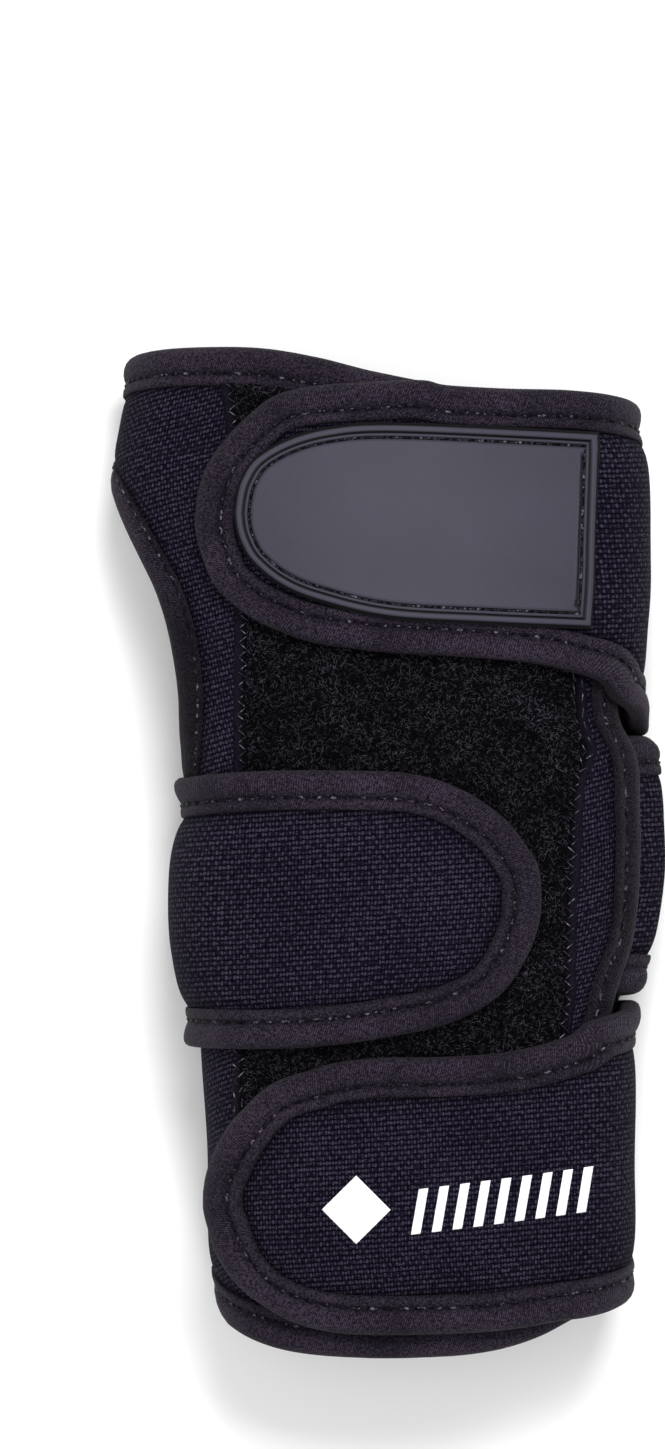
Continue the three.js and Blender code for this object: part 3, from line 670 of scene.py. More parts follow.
def bind(name, outline, base, wall, pitch, closed=False, low=None, press=no_press, shade=0.0,
         roll=ROLL, seam=STITCH_INSET):
    """A folded binding round the edge of a cloth: one roll over its top face and one under it.

    Each stitch pulls the roll down beside it. Shade is painted into the colour deep in the stitch
    groove, at the inner edge and where the roll turns under; the shade argument paints more
    shade along the whole binding.
    """
    pull_depth, pull_reach, pull_shift = 0.22, 1.1, 0.1
    swell_share, swell_scale = 0.1, 17 * MM
    groove_reach, groove_shift, groove_shade = 0.55, 0.05, 0.85
    edge_reach, edge_past = 0.35, 0.04
    turn_reach, turn_shade = 0.3, 0.6
    cell_round = 0.6 * MM
    seam = seam / MM
    base = base(outline)
    wall = wall - press(outline)
    along = run_along(outline)
    pull = 0.5 + 0.5 * np.cos(2 * math.pi * along / pitch)
    swell = 1 + swell_share * unevenness(outline, len(outline), swell_scale)
    top, foot = [], []
    for inward, height in roll:
        at = inset(outline, inward * MM, closed)
        near_stitch = math.exp(-(((inward - seam + pull_shift) / pull_reach) ** 2))
        lift = (height * swell - pull_depth * near_stitch * pull) * MM
        top.append(lay(at, base + wall + lift))
        under = lift if low is None else np.minimum(lift, low)
        foot.append(lay(at, base - under))
    rings = np.stack(top[::-1] + foot, axis=1)
    n, sides = rings.shape[:2]
    inward = np.array([row[0] for row in roll])
    # Painted shade: darkest in the stitch groove, at the inner edge and where the roll turns under
    depth = np.exp(-(((inward - seam + groove_shift) / groove_reach) ** 2))
    depth = depth + np.exp(-((inward[-1] + edge_past - inward) / edge_reach))
    depth = np.clip(groove_shade * depth + turn_shade * np.exp(-inward / turn_reach), 0, 1)
    shade = np.broadcast_to(shade, n)
    painted_shade_and_margin = np.maximum(np.concatenate([depth[::-1], depth])[None, :], shade[:, None])
    across = np.arange(sides) * cell_round
    pattern = np.stack(np.meshgrid(along, across, indexing="ij"), axis=-1)
    faces = []
    for i in range(n if closed else n - 1):
        j = (i + 1) % n
        for k in range(sides):
            m = (k + 1) % sides
            faces.append((i * sides + k, j * sides + k, j * sides + m, i * sides + m))
    if not closed:
        faces.append(tuple(range(sides)))
        faces.append(tuple((n - 1) * sides + k for k in reversed(range(sides))))
    return face_out(mesh_object(name, rings, faces, pattern, BINDING, painted_shade_and_margin))


# Materials


def add_node(tree, kind, inputs, **settings):
    """Adds a node, and gives each named input its value or its link."""
    node = tree.nodes.new(kind)
    for key, value in settings.items():
        setattr(node, key, value)
    for key, value in inputs.items():
        if isinstance(value, bpy.types.NodeSocket):
            tree.links.new(value, node.inputs[key])
        else:
            node.inputs[key].default_value = value
    return node


class Finish:
    """A material in the making, with short calls for the nodes that the finishes share."""

    def __init__(self, name, **sockets):
        self.material = bpy.data.materials.new(name)
        self.material.use_nodes = True
        self.tree = self.material.node_tree
        self.shader = self.tree.nodes["Principled BSDF"]
        for key, value in sockets.items():
            self.shader.inputs[SOCKET_NAMES[key]].default_value = value

    def add(self, kind, inputs, **settings):
        return add_node(self.tree, kind, inputs, **settings)

    def link(self, value, socket):
        self.tree.links.new(value, self.shader.inputs[socket])

    def calc(self, operation, *values):
        return self.add("ShaderNodeMath", dict(enumerate(values)), operation=operation).outputs[0]

    def times(self, first, *others):
        for other in others:
            first = self.calc("MULTIPLY", first, other)
        return first

    def plus(self, first, second):
        return self.calc("ADD", first, second)

    def spot(self):
        return self.add("ShaderNodeTexCoord", {}).outputs["Object"]

    # Painted shade from creases, seams and grooves; on the pile panel, its pale margin instead
    def painted_shade_and_margin(self):
        return self.add("ShaderNodeAttribute", {}, attribute_name="painted_shade_and_margin").outputs["Fac"]

    def pattern(self):
        """The flat pattern, whole and as its two axes."""
        uv = self.add("ShaderNodeUVMap", {}, uv_map="pattern").outputs["UV"]
        split = self.add("ShaderNodeSeparateXYZ", {0: uv})
        return uv, split.outputs["X"], split.outputs["Y"]

    def noise(self, vector, scale, detail=2.0, roughness=0.5):
        inputs = {"Vector": vector, "Scale": scale, "Detail": detail, "Roughness": roughness}
        return self.add("ShaderNodeTexNoise", inputs).outputs["Fac"]

    def uneven(self, amount, *noise):
        """A noise made wider round one: 1 + amount * (noise - 0.5)."""
        wide = self.times(self.calc("SUBTRACT", self.noise(*noise), 0.5), amount)
        return self.calc("MAXIMUM", self.plus(wide, 1.0), 0.0)

    def ramp(self, value, stops):
        node = self.add("ShaderNodeValToRGB", {"Fac": value})
        while len(node.color_ramp.elements) < len(stops):
            node.color_ramp.elements.new(0.5)
        for element, (position, colour) in zip(node.color_ramp.elements, stops):
            element.position = position
            element.color = (*colour, 1)
        return node.outputs["Color"]

    def colour(self, value, stops, depth=0.0):
        """Colours the surface, and paints shade into creases, beside seams and into stitch grooves.
        """
        colour = self.ramp(value, stops)
        if depth:
            left = self.plus(self.times(self.painted_shade_and_margin(), -depth), 1.0)
            inputs = {0: colour, "Scale": left}
            colour = self.add("ShaderNodeVectorMath", inputs, operation="SCALE").outputs[0]
        self.link(colour, "Base Color")

    def bump(self, height, distance, strength):
        inputs = {"Height": height, "Distance": distance, "Strength": strength}
        self.link(self.add("ShaderNodeBump", inputs).outputs["Normal"], "Normal")

    def weave(self):
        """Height of a plain weave over the flat pattern, with threads that wander a little."""
        uv, u, v = self.pattern()
        threads = []
        for axis, pitch, scale in ((u, WARP_PITCH, 420.0), (v, WEFT_PITCH, 90.0)):
            drift = self.times(self.calc("SUBTRACT", self.noise(uv, scale), 0.5), 1.2)
            phase = self.times(axis, math.pi / pitch)
            threads.append(self.calc("SINE", self.plus(phase, drift)))
        inputs = {"From Min": -0.3, "From Max": 0.3, "Value": self.times(*threads)}
        node = self.add("ShaderNodeMapRange", inputs, interpolation_type="SMOOTHSTEP")
        over = node.outputs[0]
        warp, weft = [self.calc("ABSOLUTE", thread) for thread in threads]
        up = self.times(self.calc("POWER", warp, 0.8), self.calc("POWER", weft, 0.5), 1.2, over)
        rest = self.calc("SUBTRACT", 1.0, over)
        down = self.times(self.calc("POWER", weft, 0.8), 0.75, rest)
        return uv, self.plus(up, down)


SOCKET_NAMES = {
    "roughness": "Roughness",
    "specular": "Specular IOR Level",
    "specular_tint": "Specular Tint",
    "sheen": "Sheen Weight",
    "sheen_roughness": "Sheen Roughness",
    "sheen_tint": "Sheen Tint",
}


def canvas_material():
    finish = Finish("black canvas", roughness=0.8, specular=0.05, specular_tint=(0.75, 0.6, 1, 1))
    uv, height = finish.weave()
    slub = finish.uneven(3.4, uv, 1100.0, 3.0, 0.65)
    patch = finish.uneven(0.6, uv, 60.0, 3.0)
    # Colour follows the weave's height: thread tops painted light as highlights and the gaps painted
    # dark as shade, times the threads' own random tone
    threads = finish.times(height, slub)
    finish.colour(finish.times(threads, patch), [
        (0.0, (0.0003, 0.0001, 0.0009)),
        (0.4, (0.0033, 0.0023, 0.0068)),
        (0.8, (0.0145, 0.012, 0.0228)),
        (1.0, (0.041, 0.036, 0.056)),
    ], 0.8)
    finish.bump(threads, 0.3 * MM, 0.9)
    return finish.material


def binding_material():
    finish = Finish("charcoal binding", roughness=0.7, specular=0.08, sheen=0.05,
                    sheen_roughness=0.35, sheen_tint=(0.75, 0.65, 0.75, 1))
    uv, u, v = finish.pattern()
    lean = finish.plus(u, finish.times(v, 0.45))
    wander = finish.times(finish.noise(uv, 300.0), 6.0)
    ribs = finish.calc("SINE", finish.plus(finish.times(lean, 2 * math.pi / RIB_PITCH), wander))
    spot = finish.spot()
    grain = finish.uneven(5.8, spot, 2200.0, 3.0, 0.7)
    broad = finish.uneven(1.4, spot, 70.0, 3.0)
    value = finish.plus(finish.times(ribs, 0.4), 1.0)
    finish.colour(finish.times(value, grain, broad, 0.5), [
        (0.05, (0.0022, 0.0014, 0.0032)),
        (0.5, (0.0135, 0.0096, 0.0178)),
        (0.95, (0.043, 0.033, 0.051)),
    ], 0.85)
    finish.bump(finish.plus(finish.times(ribs, 0.35), grain), 0.12 * MM, 0.8)
    return finish.material


def pile_material(name, low, high, gloss):
    finish = Finish(name, roughness=0.4, specular=gloss)
    spot = finish.spot()
    value = finish.times(finish.noise(spot, 1100.0, 3.0, 0.7), finish.uneven(1.0, spot, 160.0))
    colour = finish.ramp(value, [(0.35, low), (0.85, high)])
    inputs = {0: MARGIN_TINT, 1: finish.painted_shade_and_margin(), 2: colour}
    lighter = finish.add("ShaderNodeVectorMath", inputs, operation="MULTIPLY_ADD")
    finish.link(lighter.outputs[0], "Base Color")
    finish.bump(value, 0.9 * MM, 1.0)
    return finish.material


def rubber_material():
    finish = Finish("grey rubber", specular=0.15)
    spot = finish.spot()
    cloud = finish.noise(spot, 35.0, 3.0)
    finish.colour(finish.times(cloud, finish.uneven(0.5, spot, 1400.0, 3.0, 0.6)), [
        (0.3, (0.0325, 0.0308, 0.0448)),
        (0.7, (0.0422, 0.0402, 0.0568)),
    ], 0.93)
    finish.link(finish.plus(finish.times(cloud, 0.1), 0.55), "Roughness")
    finish.bump(finish.noise(spot, 5200.0, 2.0, 0.6), 0.04 * MM, 0.4)
    return finish.material


def thread_material(name, dark, middle, glint):
    finish = Finish(name, roughness=0.5, specular=0.07, specular_tint=(0.85, 0.65, 1, 1))
    spot = finish.spot()
    twist = finish.noise(spot, 2400.0)
    value = finish.times(twist, finish.uneven(4.5, spot, 900.0))
    # The last stop paints glints: small bright spots of painted highlight on the twisted thread
    finish.colour(value, [(0.25, dark), (0.6, middle), (0.95, glint)])
    finish.bump(twist, 0.08 * MM, 0.6)
    return finish.material


def print_material():
    finish = Finish("white print", roughness=0.55)
    uv, height = finish.weave()
    value = finish.times(height, finish.uneven(1.2, uv, 900.0, 3.0, 0.6))
    finish.colour(value, [(0.02, (0.5, 0.5, 0.53)), (0.3, (0.9, 0.9, 0.92))])
    finish.bump(height, 0.1 * MM, 0.5)
    return finish.material


def floor_material():
    finish = Finish("pale floor", roughness=0.9, specular=0.1)
    shade = finish.noise(finish.spot(), 3.0)
    finish.colour(shade, [(0.3, (0.88, 0.88, 0.88)), (0.7, (0.9, 0.9, 0.9))])
    return finish.material


CANVAS = canvas_material()
BINDING = binding_material()
PILE = pile_material("black pile", (0.0003, 0.0003, 0.0006), (0.004, 0.0036, 0.0055), 0.02)
# The loops' light colour paints glints onto black fibre
CURL = pile_material("pile loops", (0.0013, 0.001, 0.0022), (0.115, 0.104, 0.13), 0.1)
RUBBER = rubber_material()
# The last colour of each thread is a painted glint over its own tone
THREAD = thread_material(
    "black thread", (0.0008, 0.0005, 0.0013), (0.0055, 0.004, 0.0078), (0.1, 0.086, 0.11)
)
GREY_THREAD = thread_material(
    "grey thread", (0.006, 0.005, 0.009), (0.035, 0.031, 0.043), (0.16, 0.145, 0.17)
)
PRINT = print_material()


# Geometry node trees


def new_tree(name, sizes, others):
    """An empty tree with a geometry input, named sizes and other inputs, and its input sockets."""
    tree = bpy.data.node_groups.new(name, "GeometryNodeTree")
    given = {"Geometry": "Geometry", **dict.fromkeys(sizes, "Float"), **others}
    for label, kind in given.items():
        tree.interface.new_socket(label, in_out="INPUT", socket_type=f"NodeSocket{kind}")
    tree.interface.new_socket("Geometry", in_out="OUTPUT", socket_type="NodeSocketGeometry")
    return tree, tree.nodes.new("NodeGroupInput").outputs


def end_tree(tree, copies, material):
    real = add_node(tree, "GeometryNodeRealizeInstances", {"Geometry": copies.outputs[0]})
    inputs = {"Geometry": real.outputs[0], "Material": material}
    paint = add_node(tree, "GeometryNodeSetMaterial", inputs)
    add_node(tree, "NodeGroupOutput", {"Geometry": paint.outputs[0]})
    return tree


def stitch_tree():
    """Sets one thread stitch on each point, turned along its seam."""
    sizes = ["Stitch Length", "Stitch Width", "Stitch Height"]
    tree, given = new_tree("Stitches", sizes, {"Thread": "Material"})
    ball = add_node(tree, "GeometryNodeMeshUVSphere", {"Segments": 8, "Rings": 6, "Radius": 0.5})
    size = add_node(tree, "ShaderNodeCombineXYZ", {i: given[name] for i, name in enumerate(sizes)})
    turned = {}
    for axis, attribute, pivot in (("X", "run", "AUTO"), ("Z", "up", "X")):
        named = add_node(tree, "GeometryNodeInputNamedAttribute", {"Name": attribute},
                         data_type="FLOAT_VECTOR")
        inputs = {"Vector": named.outputs["Attribute"], **turned}
        align = add_node(tree, "FunctionNodeAlignRotationToVector", inputs,
                         axis=axis, pivot_axis=pivot)
        turned = {"Rotation": align.outputs["Rotation"]}
    put = add_node(tree, "GeometryNodeInstanceOnPoints", {
        "Points": given["Geometry"],
        "Instance": ball.outputs["Mesh"],
        "Scale": size.outputs[0],
        **turned,
    })
    return end_tree(tree, put, given["Thread"])


def pile_tree():
    """Scatters curled fibre loops over the open parts of the panel."""
    sizes = ["Loops per Square Metre", "Loop Radius", "Fibre Radius"]
    tree, given = new_tree("Pile", sizes, {"Seed": "Int", "Fibre": "Material"})
    spread = add_node(tree, "GeometryNodeDistributePointsOnFaces", {
        "Mesh": given["Geometry"],
        "Density": given["Loops per Square Metre"],
        "Seed": given["Seed"],
    })
    arc = add_node(tree, "GeometryNodeCurveArc", {
        "Resolution": 5,
        "Sweep Angle": math.radians(235),
        "Radius": given["Loop Radius"],
    })
    lean = (math.radians(70), 0, math.radians(28))
    stand = add_node(tree, "GeometryNodeTransform", {"Geometry": arc.outputs[0], "Rotation": lean})
    section = add_node(tree, "GeometryNodeCurvePrimitiveCircle", {
        "Resolution": 3,
        "Radius": given["Fibre Radius"],
    })
    tube = add_node(tree, "GeometryNodeCurveToMesh", {
        "Curve": stand.outputs[0],
        "Profile Curve": section.outputs[0],
    })
    spin = add_node(tree, "FunctionNodeRandomValue", {
        0: (-0.9, -0.9, 0),
        1: (0.9, 0.9, 2 * math.pi),
        "Seed": given["Seed"],
    }, data_type="FLOAT_VECTOR")
    vary = add_node(tree, "FunctionNodeRandomValue", {
        2: 0.45,
        3: 1.25,
        "Seed": given["Seed"],
    }, data_type="FLOAT")
    put = add_node(tree, "GeometryNodeInstanceOnPoints", {
        "Points": spread.outputs["Points"],
        "Instance": tube.outputs["Mesh"],
        "Rotation": spin.outputs[0],
        "Scale": vary.outputs[1],
    })
    return end_tree(tree, put, given["Fibre"])


def socket_id(tree, name):
    return next(s.identifier for s in tree.interface.items_tree if s.name == name)


def grow(name, base, tree, values):
    """Runs a node tree on a base object and keeps the result as a plain mesh."""
    modifier = base.modifiers.new(name, "NODES")
    modifier.node_group = tree
    for key, value in values.items():
        modifier[socket_id(tree, key)] = value
    bpy.context.view_layer.update()
    graph = bpy.context.evaluated_depsgraph_get()
    mesh = bpy.data.meshes.new_from_object(base.evaluated_get(graph))
    mesh.name = name
    bpy.data.objects.remove(base)
    mesh.polygons.foreach_set("use_smooth", [True] * len(mesh.polygons))
    return new_object(name, mesh)


STITCHES = stitch_tree()
PILE_LOOPS = pile_tree()


def settle(piece, slot, *nodes):
    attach(piece, "root")
    if nodes:
        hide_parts(*nodes)
    return piece


def sew(name, line, height, pitch, size=STITCH_SIZE, closed=False, thread=THREAD):
    """A row of stitches along a line of flat pattern points, at a height over the body cloth."""
    path, above = lay(line, height), lay(line, height + MM)
    if closed:
        path, above = np.concatenate([path, path[:1]]), np.concatenate([above, above[:1]])
    run = run_along(path)
    count = max(int(run[-1] / pitch), 2)
    at = (np.arange(count) + 0.5) * run[-1] / count
    near = 0.4 * MM
    spots = resample(path, run, at)
    along = resample(path, run, at + near) - resample(path, run, at - near)
    mesh = bpy.data.meshes.new(name)
    mesh.from_pydata(spots.tolist(), [], [])
    for attribute, vectors in (("run", along), ("up", resample(above, run, at) - spots)):
        stored = mesh.attributes.new(attribute, "FLOAT_VECTOR", "POINT")
        stored.data.foreach_set("vector", vectors.ravel())
    share, wide, tall = size
    piece = grow(name, new_object(f"{name}_points", mesh), STITCHES, {
        "Stitch Length": share * pitch,
        "Stitch Width": wide,
        "Stitch Height": tall,
        "Thread": thread,
    })
    return settle(piece, "thread")


# Body


def end_outline(edge_y, count):
    """An open end's outline, from the back panel's edge round to the palm panel's."""
    start = back_edge_turn(edge_y(LITTLE_TURN))
    end = palm_edge_turn(edge_y(PALM_TURN_MIDDLE))
    turns = np.linspace(float(start), float(end), count)
    return on_cloth(turns, edge_y(turns))


def long_outline(edge_turn, start, end):
    y = np.linspace(float(start), float(end), EDGE_STEPS)
    return on_cloth(edge_turn(y), y)


def thumb_outline():
    along, over, under = np.array(THUMB_HOLE).T
    y = along * LENGTH
    girth = local_girth(THUMB_TURN, y)
    sides = []
    for share in (over, -under):
        turn = side_turn(-1.0, y) + share * THUMB_HOLE_HEIGHT / girth
        sides.append(smooth_path(on_cloth(turn, y), HOLE_CELL))
    return np.concatenate([sides[0], sides[1][1:-1][::-1]])


def make_body():
    half = BINDING_WIDTH / 2
    top = end_outline(finger_y, FINGER_END_STEPS)
    foot = end_outline(wrist_y, EDGE_STEPS)[::-1]
    hole = thumb_outline()
    back = long_outline(back_edge_turn, wrist_y(LITTLE_TURN) + half, finger_y(LITTLE_TURN) - half)
    palm = long_outline(palm_edge_turn, finger_y(PALM_TURN_FAR) - half,
                        wrist_y(PALM_TURN_FAR) + half)

    # The cloth ends under the bindings, a little inside their outer edges
    rows, over = BODY_CELLS
    hem = 0.6 * half
    last_level = 0.48
    v = np.linspace(0, 1, rows)[:, None]
    u = np.linspace(0, 1, over)[None, :]
    level = LENGTH * (last_level - 2 * last_level * v)
    start = back_edge_turn(level) - hem / local_girth(LITTLE_TURN, level)
    end = palm_edge_turn(level) + hem / local_girth(SLIT_TURN, level)
    turn = start + (end - start) * u
    y = (finger_y(turn) - hem) * (1 - v) + (wrist_y(turn) + hem) * v
    pattern = on_cloth(turn, y)

    # Past each binding's inner edge the cloth swells, and under the binding it lies lower
    narrower = BINDING_WIDTH - THUMB_BINDING_WIDTH
    to_hole = distance_to(hole[::3], pattern)
    bound = np.minimum.reduce([
        distance_to(top[::4], pattern, False),
        distance_to(foot[::4], pattern, False),
        distance_to(back[::6], pattern, False),
        distance_to(palm[::6], pattern, False),
        to_hole + narrower,
    ]) - BINDING_WIDTH
    lift = puff(bound, BODY_PUFF) + BODY_SWING * unevenness(pattern, BODY_SEED)
    lift = np.where(bound > -0.5 * MM, lift, -0.3 * MM)
    in_hole = inside(hole, pattern) | (to_hole < 0.35 * BINDING_WIDTH)
    hole_cell = in_hole[:-1, :-1] | in_hole[1:, :-1] | in_hole[:-1, 1:] | in_hole[1:, 1:]
    # Painted shade on the cloth beside each binding
    depth = np.exp(-np.maximum(bound, 0) / PAINTED_SHADE_REACH)
    under = -BODY_WALL - 0.4 * lift
    shell = quilt("body_canvas", pattern, lift, under, CANVAS, ~hole_cell, depth, BODY_GRAIN)
    settle(shell, "canvas", "body_shell")

    # The bindings carry painted shade in the crook of the thumb and along the two panels' edges
    crook = 0.8 * (1 - ease(0.2 * LENGTH, 0.34 * LENGTH, hole[:, 1]))
    long_shade = 0.65
    seams = [
        ("finger_end_edge", top, "finger_end_binding", END_PITCH, 0.0),
        ("wrist_end_edge", foot, "wrist_end_binding", END_PITCH, 0.0),
        ("thumb_opening_edge", hole, "thumb_opening_binding", STITCH_PITCH, crook),
        ("back_panel_edge", back, "dorsal_edge_binding", LONG_PITCH, long_shade),
        ("palm_panel_edge", palm, "palm_edge_binding", LONG_PITCH, long_shade),
    ]
    for name, line, node, pitch, shade in seams:
        closed = line is hole
        roll, sewn = (THUMB_ROLL, THUMB_STITCH_INSET) if closed else (ROLL, STITCH_INSET)
        piece = bind(name, line, body_base, BODY_WALL, pitch, closed, BINDING_PROUD, no_press,
                     shade, roll, sewn)
        settle(piece, "binding", node)
        size = LONG_STITCH_SIZE if pitch == LONG_PITCH else STITCH_SIZE
        sew(f"{name}_stitches", inset(line, sewn, closed), STITCH_LIFT, pitch, size, closed)


# Loop panel


def panel_pattern(cells):
    rows, over = cells
    v = np.linspace(0, 1, rows)[:, None]
    level = LENGTH * (0.5 - v)
    start, end = [front_turn(edge, level, PANEL_BASE)
                  for edge in (PANEL_THUMB_EDGE, PANEL_LITTLE_EDGE)]
    turn = start + (end - start) * np.linspace(0, 1, over)[None, :]
    gap = BINDING_WIDTH - 0.4 * MM
    y = (finger_y(turn) - gap) * (1 - v) + (wrist_y(turn) + gap) * v
    return on_cloth(turn, y)


def make_panel(covers):
    """The pile and its sewn margins, with fibre loops wherever no strap covers it."""
    pattern = panel_pattern(PANEL_CELLS)
    x = pattern[..., 0]
    border = np.minimum(np.abs(x - x[:, :1]), np.abs(x - x[:, -1:]))
    lumps = PILE_LUMPS * np.random.default_rng(PILE_SEED).standard_normal(x.shape)
    top = PANEL_BASE + PILE_DEPTH * (0.25 + 0.6 * ease(0, PILE_ROUND, border)) + lumps
    margin = 1 - ease(0.7 * MARGIN_WIDTH, 1.3 * MARGIN_WIDTH, border)
    panel = quilt("pile_panel", pattern, top, PANEL_BASE, PILE, painted_shade_and_margin=margin)
    settle(panel, "loop_pile", "loop_panel")

    coarse = panel_pattern(LOOP_CELLS)
    centre = (coarse[:-1, :-1] + coarse[1:, 1:]) / 2
    bare = np.ones(centre.shape[:2], bool)
    for cover in covers:
        bare &= ~inside(inset(cover, 0.6 * MM), centre)
    bare[:, :2] = bare[:, -2:] = False
    points = lay(coarse, PANEL_BASE + 0.75 * PILE_DEPTH)
    index = grid_index(coarse.shape[:2])
    finger_half = centre[..., 1] > PILE_SPLIT * LENGTH
    for name, part in (("finger", finger_half), ("wrist", ~finger_half)):
        faces = [cell(index, i, j) for i, j in zip(*np.nonzero(part & bare))]
        bed = mesh_object(f"pile_bed_{name}", points, faces, None)
        loops = grow(f"pile_loops_{name}_half", bed, PILE_LOOPS, {
            "Loops per Square Metre": LOOPS_PER_AREA,
            "Loop Radius": LOOP_RADIUS,
            "Fibre Radius": FIBRE_RADIUS,
            "Seed": LOOP_SEEDS[name],
            "Fibre": CURL,
        })
        settle(loops, "loop_pile")
    zigzag("panel_thumb_side_zigzag", pattern[:, 0], 1)
    zigzag("panel_little_side_zigzag", pattern[:, -1], -1)


def zigzag(name, edge, way):
    line = smooth_path(edge, ZIGZAG_LEG)
    swing = np.where(np.arange(len(line)) % 2 == 0, ZIGZAG_NEAR, ZIGZAG_FAR) * way
    line = line + np.stack([swing, np.zeros(len(line))], axis=-1)
    steps = np.linspace(0, 1, 5)[:-1, None]
    fine = np.concatenate([a + (b - a) * steps for a, b in zip(line[:-1], line[1:])])
    pitch = math.hypot(ZIGZAG_LEG, ZIGZAG_FAR - ZIGZAG_NEAR)
    sew(name, fine, PANEL_BASE + 1.15 * PILE_DEPTH, pitch, ZIGZAG_SIZE, thread=GREY_THREAD)


# Straps


def strap_outline(top, foot):
    """A strap's outline round its free tip, with the same number of points on both edges."""
    paths = [smooth_path(edge, STRAP_CELL) for edge in (top, foot)]
    count = max(len(path) for path in paths)
    upper, lower = [
        resample(path, np.arange(len(path)), np.linspace(0, len(path) - 1, count)) for path in paths
    ]
    return leftward(np.concatenate([upper[::-1], lower[1:]])), count


def make_strap(name, node, top, foot, base, seed, grain, press=no_press):
    outline, count = strap_outline(top, foot)
    inner = inset(outline, 0.72 * BINDING_WIDTH)
    sewn = inset(outline, BINDING_WIDTH)
    pairs = np.arange(1, count)
    a, b = inner[count - 1 - pairs], inner[count - 1 + pairs]
    share = np.linspace(0, 1, STRAP_CELLS_ACROSS)[None, :, None]
    pattern = a[:, None] * (1 - share) + b[:, None] * share
    distance = distance_to(sewn[::3], pattern, False)
    distance = np.where(inside(sewn, pattern), distance, 0)
    height = base(pattern)
    top_height = height + STRAP_WALL + puff(distance) + CANVAS_SWING * unevenness(pattern, seed)
    top_height = top_height - press(pattern) * np.exp(-distance / PRESS_REACH)
    foot_height = height + 0.25 * MM
    # Painted shade on the canvas beside its seam
    depth = np.exp(-distance / PAINTED_SHADE_REACH)
    canvas = quilt(f"{name}_canvas", pattern, top_height, foot_height, CANVAS, None, depth, grain)
    settle(canvas, "canvas", node)
    edge = bind(f"{name}_edge", outline, base, STRAP_WALL, STITCH_PITCH, low=0.0, press=press)
    settle(edge, "binding", f"{node}_binding")
    seam = inset(outline, STITCH_INSET)
    lift = base(seam) + STRAP_WALL + STITCH_LIFT - press(seam)
    sew(f"{name}_edge_stitches", seam, lift, STITCH_PITCH)
    return outline


# Pull tab


def mitred(outline, distance):
    """A closed outline moved inwards with its corners kept sharp."""
    stretch = local_girth(outline[:, 0] / GIRTH, outline[:, 1]) / GIRTH
    flat = np.stack([outline[:, 0] * stretch, outline[:, 1]], axis=-1)
    normals = []
    for step in (np.roll(flat, -1, axis=0) - flat, flat - np.roll(flat, 1, axis=0)):
        unit = step / np.linalg.norm(step, axis=1, keepdims=True)
        normals.append(np.stack([-unit[:, 1], unit[:, 0]], axis=-1))
    together = normals[0] + normals[1]
    scale = 1 + np.sum(normals[0] * normals[1], axis=1, keepdims=True)
    moved = distance * together / scale
    return outline + np.stack([moved[:, 0] / stretch, moved[:, 1]], axis=-1)


def make_tab():
    """A rubber plate whose rim and stitch channel are rings inside its outline."""
    base = STRAP_TOP + CLEARANCE + TAB_LIFT
    paths = [smooth_path(on_front(edge, base), TAB_CELL) for edge in (TAB_TOP, TAB_FOOT)]
    n = max(len(path) for path in paths)
    crowded = np.linspace(0, 1, n) ** TAB_CROWD
    top, foot = [
        resample(path, np.arange(len(path)), crowded * (len(path) - 1)) for path in paths
    ]
    m = int(np.linalg.norm(top[-1] - foot[-1]) / TAB_CELL)
    shares = np.arange(1, m)[:, None] / m
    end = foot[-1] * (1 - shares) + top[-1] * shares
    outline = np.concatenate([foot, end, top[1:][::-1]])
    count = len(outline)
    low_corner, high_corner = n - 1, n - 1 + m

    def unfolded(ring):
        """A ring without the folds that its two sharp corners would make."""
        low, high = ring[low_corner], ring[high_corner]
        x, y = ring.T
        i = np.arange(count)
        on_end = (i > low_corner) & (i < high_corner)
        past_low = ((i < low_corner) & (x > low[0])) | (on_end & (y < low[1]))
        past_high = ((i > high_corner) & (x > high[0])) | (on_end & (y > high[1]))
        ring = np.where(past_low[:, None], low, ring)
        return np.where(past_high[:, None], high, ring)

    def ladder(ring):
        """Rungs from the foot side to the top side of a ring, and the ring's own end as the last."""
        steps = np.arange(m + 1)[:, None] / m
        rungs = [ring[i] * (1 - steps) + ring[count - i] * steps for i in range(1, n - 1)]
        return np.stack(rungs + [ring[n - 1:n + m]])

    points, pattern, painted_shade_and_margin, faces = [], [], [], []

    def put(flat, height, shade):
        start = sum(len(p) for p in points)
        flat = flat.reshape(-1, 2)
        points.append(lay(flat, base + height * MM))
        pattern.append(flat)
        painted_shade_and_margin.append(np.full(len(flat), shade))
        return start

    # Painted shade in the rim's groove and stitch channel, and a black flange as the painted shadow
    rings = [unfolded(mitred(outline, inward * MM)) for inward, _, _ in TAB_PROFILE]
    starts = [put(ring, high, shade) for ring, (_, high, shade) in zip(rings, TAB_PROFILE)]
    for a, b in zip(starts[:-1], starts[1:]):
        for i in range(count):
            j = (i + 1) % count
            faces.append((a + i, a + j, b + j, b + i))
    for ring, high, up in ((rings[-1], TAB_PROFILE[-1][1], True), (rings[0], 0.0, False)):
        grid = ladder(ring)
        start = put(grid, high, 0.0)
        tip = put(ring[:1], high, 0.0)
        rows, over = grid.shape[:2]
        patch = []
        for i in range(rows - 1):
            for j in range(over - 1):
                a = start + i * over + j
                patch.append((a, a + over, a + over + 1, a + 1))
        patch += [(tip, start + j, start + j + 1) for j in range(over - 1)]
        faces += patch if up else [face[::-1] for face in patch]
    points, pattern, painted_shade_and_margin = [np.concatenate(part) for part in (points, pattern, painted_shade_and_margin)]
    plate = mesh_object("pull_tab_plate", points, faces, pattern, RUBBER, painted_shade_and_margin)
    settle(face_out(edited(plate, weld)), "grey_rubber", "pull_tab")
    seam = unfolded(mitred(outline, TAB_STITCH_INSET))
    sew("pull_tab_stitches", seam, base + TAB_STITCH_LIFT, TAB_STITCH_PITCH, TAB_STITCH_SIZE,
        closed=True)


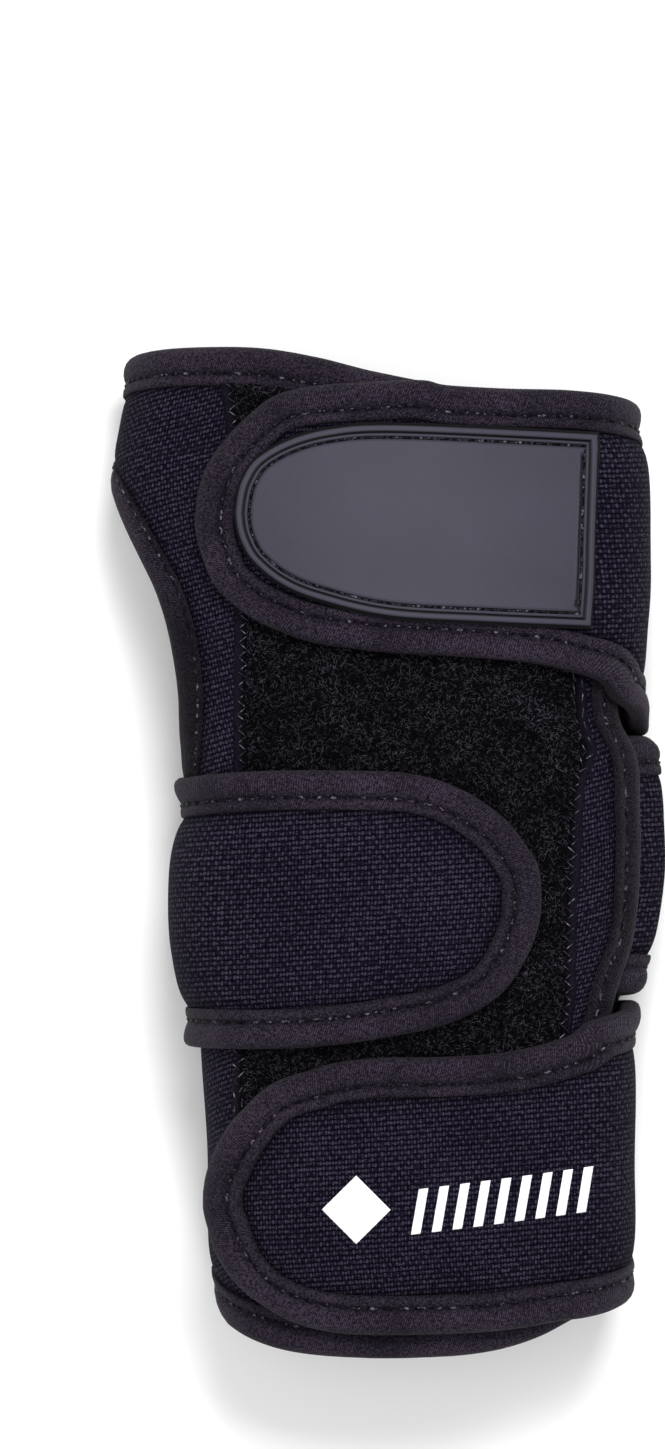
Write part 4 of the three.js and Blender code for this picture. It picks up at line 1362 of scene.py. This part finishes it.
# Generic print


def from_pixel(column, row):
    return np.array([(column - GLOVE_PIXEL[0]) * PIXEL, (GLOVE_PIXEL[1] - row) * PIXEL])


def print_patch(name, spot):
    """A thin printed patch that lies on the lower strap's canvas, over a grid of places."""
    height = STRAP_TOP + CANVAS_PUFF
    pattern = on_cloth(turn_at_front(spot[..., 0], spot[..., 1], height), spot[..., 1])
    over = height + CANVAS_SWING * unevenness(pattern, LOWER_SEED)
    patch = quilt(name, pattern, over + PRINT_THICK, over - PRINT_THICK, PRINT, grain=LOWER_GRAIN)
    settle(patch, "print")


def make_print():
    across = np.linspace(-1, 1, 16)
    u, v = np.meshgrid(across, across, indexing="ij")
    diagonals = np.stack([u + v, u - v], axis=-1) * LOZENGE_REACH * PIXEL / 2
    print_patch("print_lozenge", from_pixel(*LOZENGE_PIXEL) + diagonals)
    start, end = from_pixel(*BARS_START), from_pixel(*BARS_END)
    way = (end - start) / np.linalg.norm(end - start)
    up = np.array([-way[1], way[0]])
    pitch = np.linalg.norm(end - start) / (BAR_COUNT - 1 + BAR_SHARE)
    t = (np.linspace(0, 1, 14)[:, None] - 0.5) * BARS_TALL * PIXEL
    for k in range(BAR_COUNT):
        s = (k + BAR_SHARE * np.linspace(0, 1, 6)[None, :]) * pitch + BAR_LEAN * t
        print_patch(f"print_bar_{k + 1}", start + s[..., None] * way + t[..., None] * up)


# Stage


def make_stage():
    bpy.ops.mesh.primitive_plane_add(size=FLOOR_SIZE)
    floor = bpy.context.object
    floor.name = "floor"
    floor.location = (0, 0, -FLOOR_DROP)
    floor.data.materials.append(floor_material())
    world = bpy.data.worlds.new("studio")
    bpy.context.scene.world = world
    world.use_nodes = True
    background = world.node_tree.nodes["Background"]
    background.inputs["Color"].default_value = (1, 1, 1, 1)
    background.inputs["Strength"].default_value = WORLD_LIGHT
    for name, spot, size, power in LAMPS:
        data = bpy.data.lights.new(name, "AREA")
        data.shape = "SQUARE"
        data.size = size
        data.energy = power
        lamp = new_object(name, data)
        lamp.location = spot
        aim = Vector(LAMP_AIM) - Vector(spot)
        lamp.rotation_euler = aim.to_track_quat("-Z", "Y").to_euler()


def make_camera():
    data = bpy.data.cameras.new("camera")
    camera = new_object("camera", data)
    middle = from_pixel(PHOTO_WIDTH / 2, PHOTO_HEIGHT / 2)
    camera.location = (*middle, FOCUS_HEIGHT + CAMERA_DISTANCE)
    data.sensor_width = SENSOR_WIDTH
    data.lens = SENSOR_WIDTH * CAMERA_DISTANCE / (PHOTO_HEIGHT * PIXEL)
    data.clip_start = 0.05
    data.clip_end = 20
    bpy.context.scene.camera = camera


def main():
    bpy.context.scene.view_settings.view_transform = "Standard"
    make_camera()
    make_stage()
    make_body()
    upper = make_strap(
        "upper_strap_pad", "upper_strap",
        strap_edge(UPPER_TOP, UPPER_TOP_WRAP), strap_edge(UPPER_FOOT, UPPER_FOOT_WRAP),
        closing_base, UPPER_SEED, UPPER_GRAIN,
    )
    lower = make_strap(
        "lower_strap_pad", "lower_strap",
        strap_edge(LOWER_TOP, LOWER_TOP_WRAP), strap_edge(LOWER_FOOT, LOWER_FOOT_WRAP),
        closing_base, LOWER_SEED, LOWER_GRAIN,
    )
    middle = make_strap(
        "middle_strap_pad", "middle_strap",
        strap_edge(MIDDLE_TOP, MIDDLE_TOP_WRAP), strap_edge(MIDDLE_FOOT, MIDDLE_FOOT_WRAP),
        middle_base, MIDDLE_SEED, LOWER_GRAIN, thumb_press,
    )
    make_panel([upper, lower, middle])
    make_tab()
    make_print()


main()
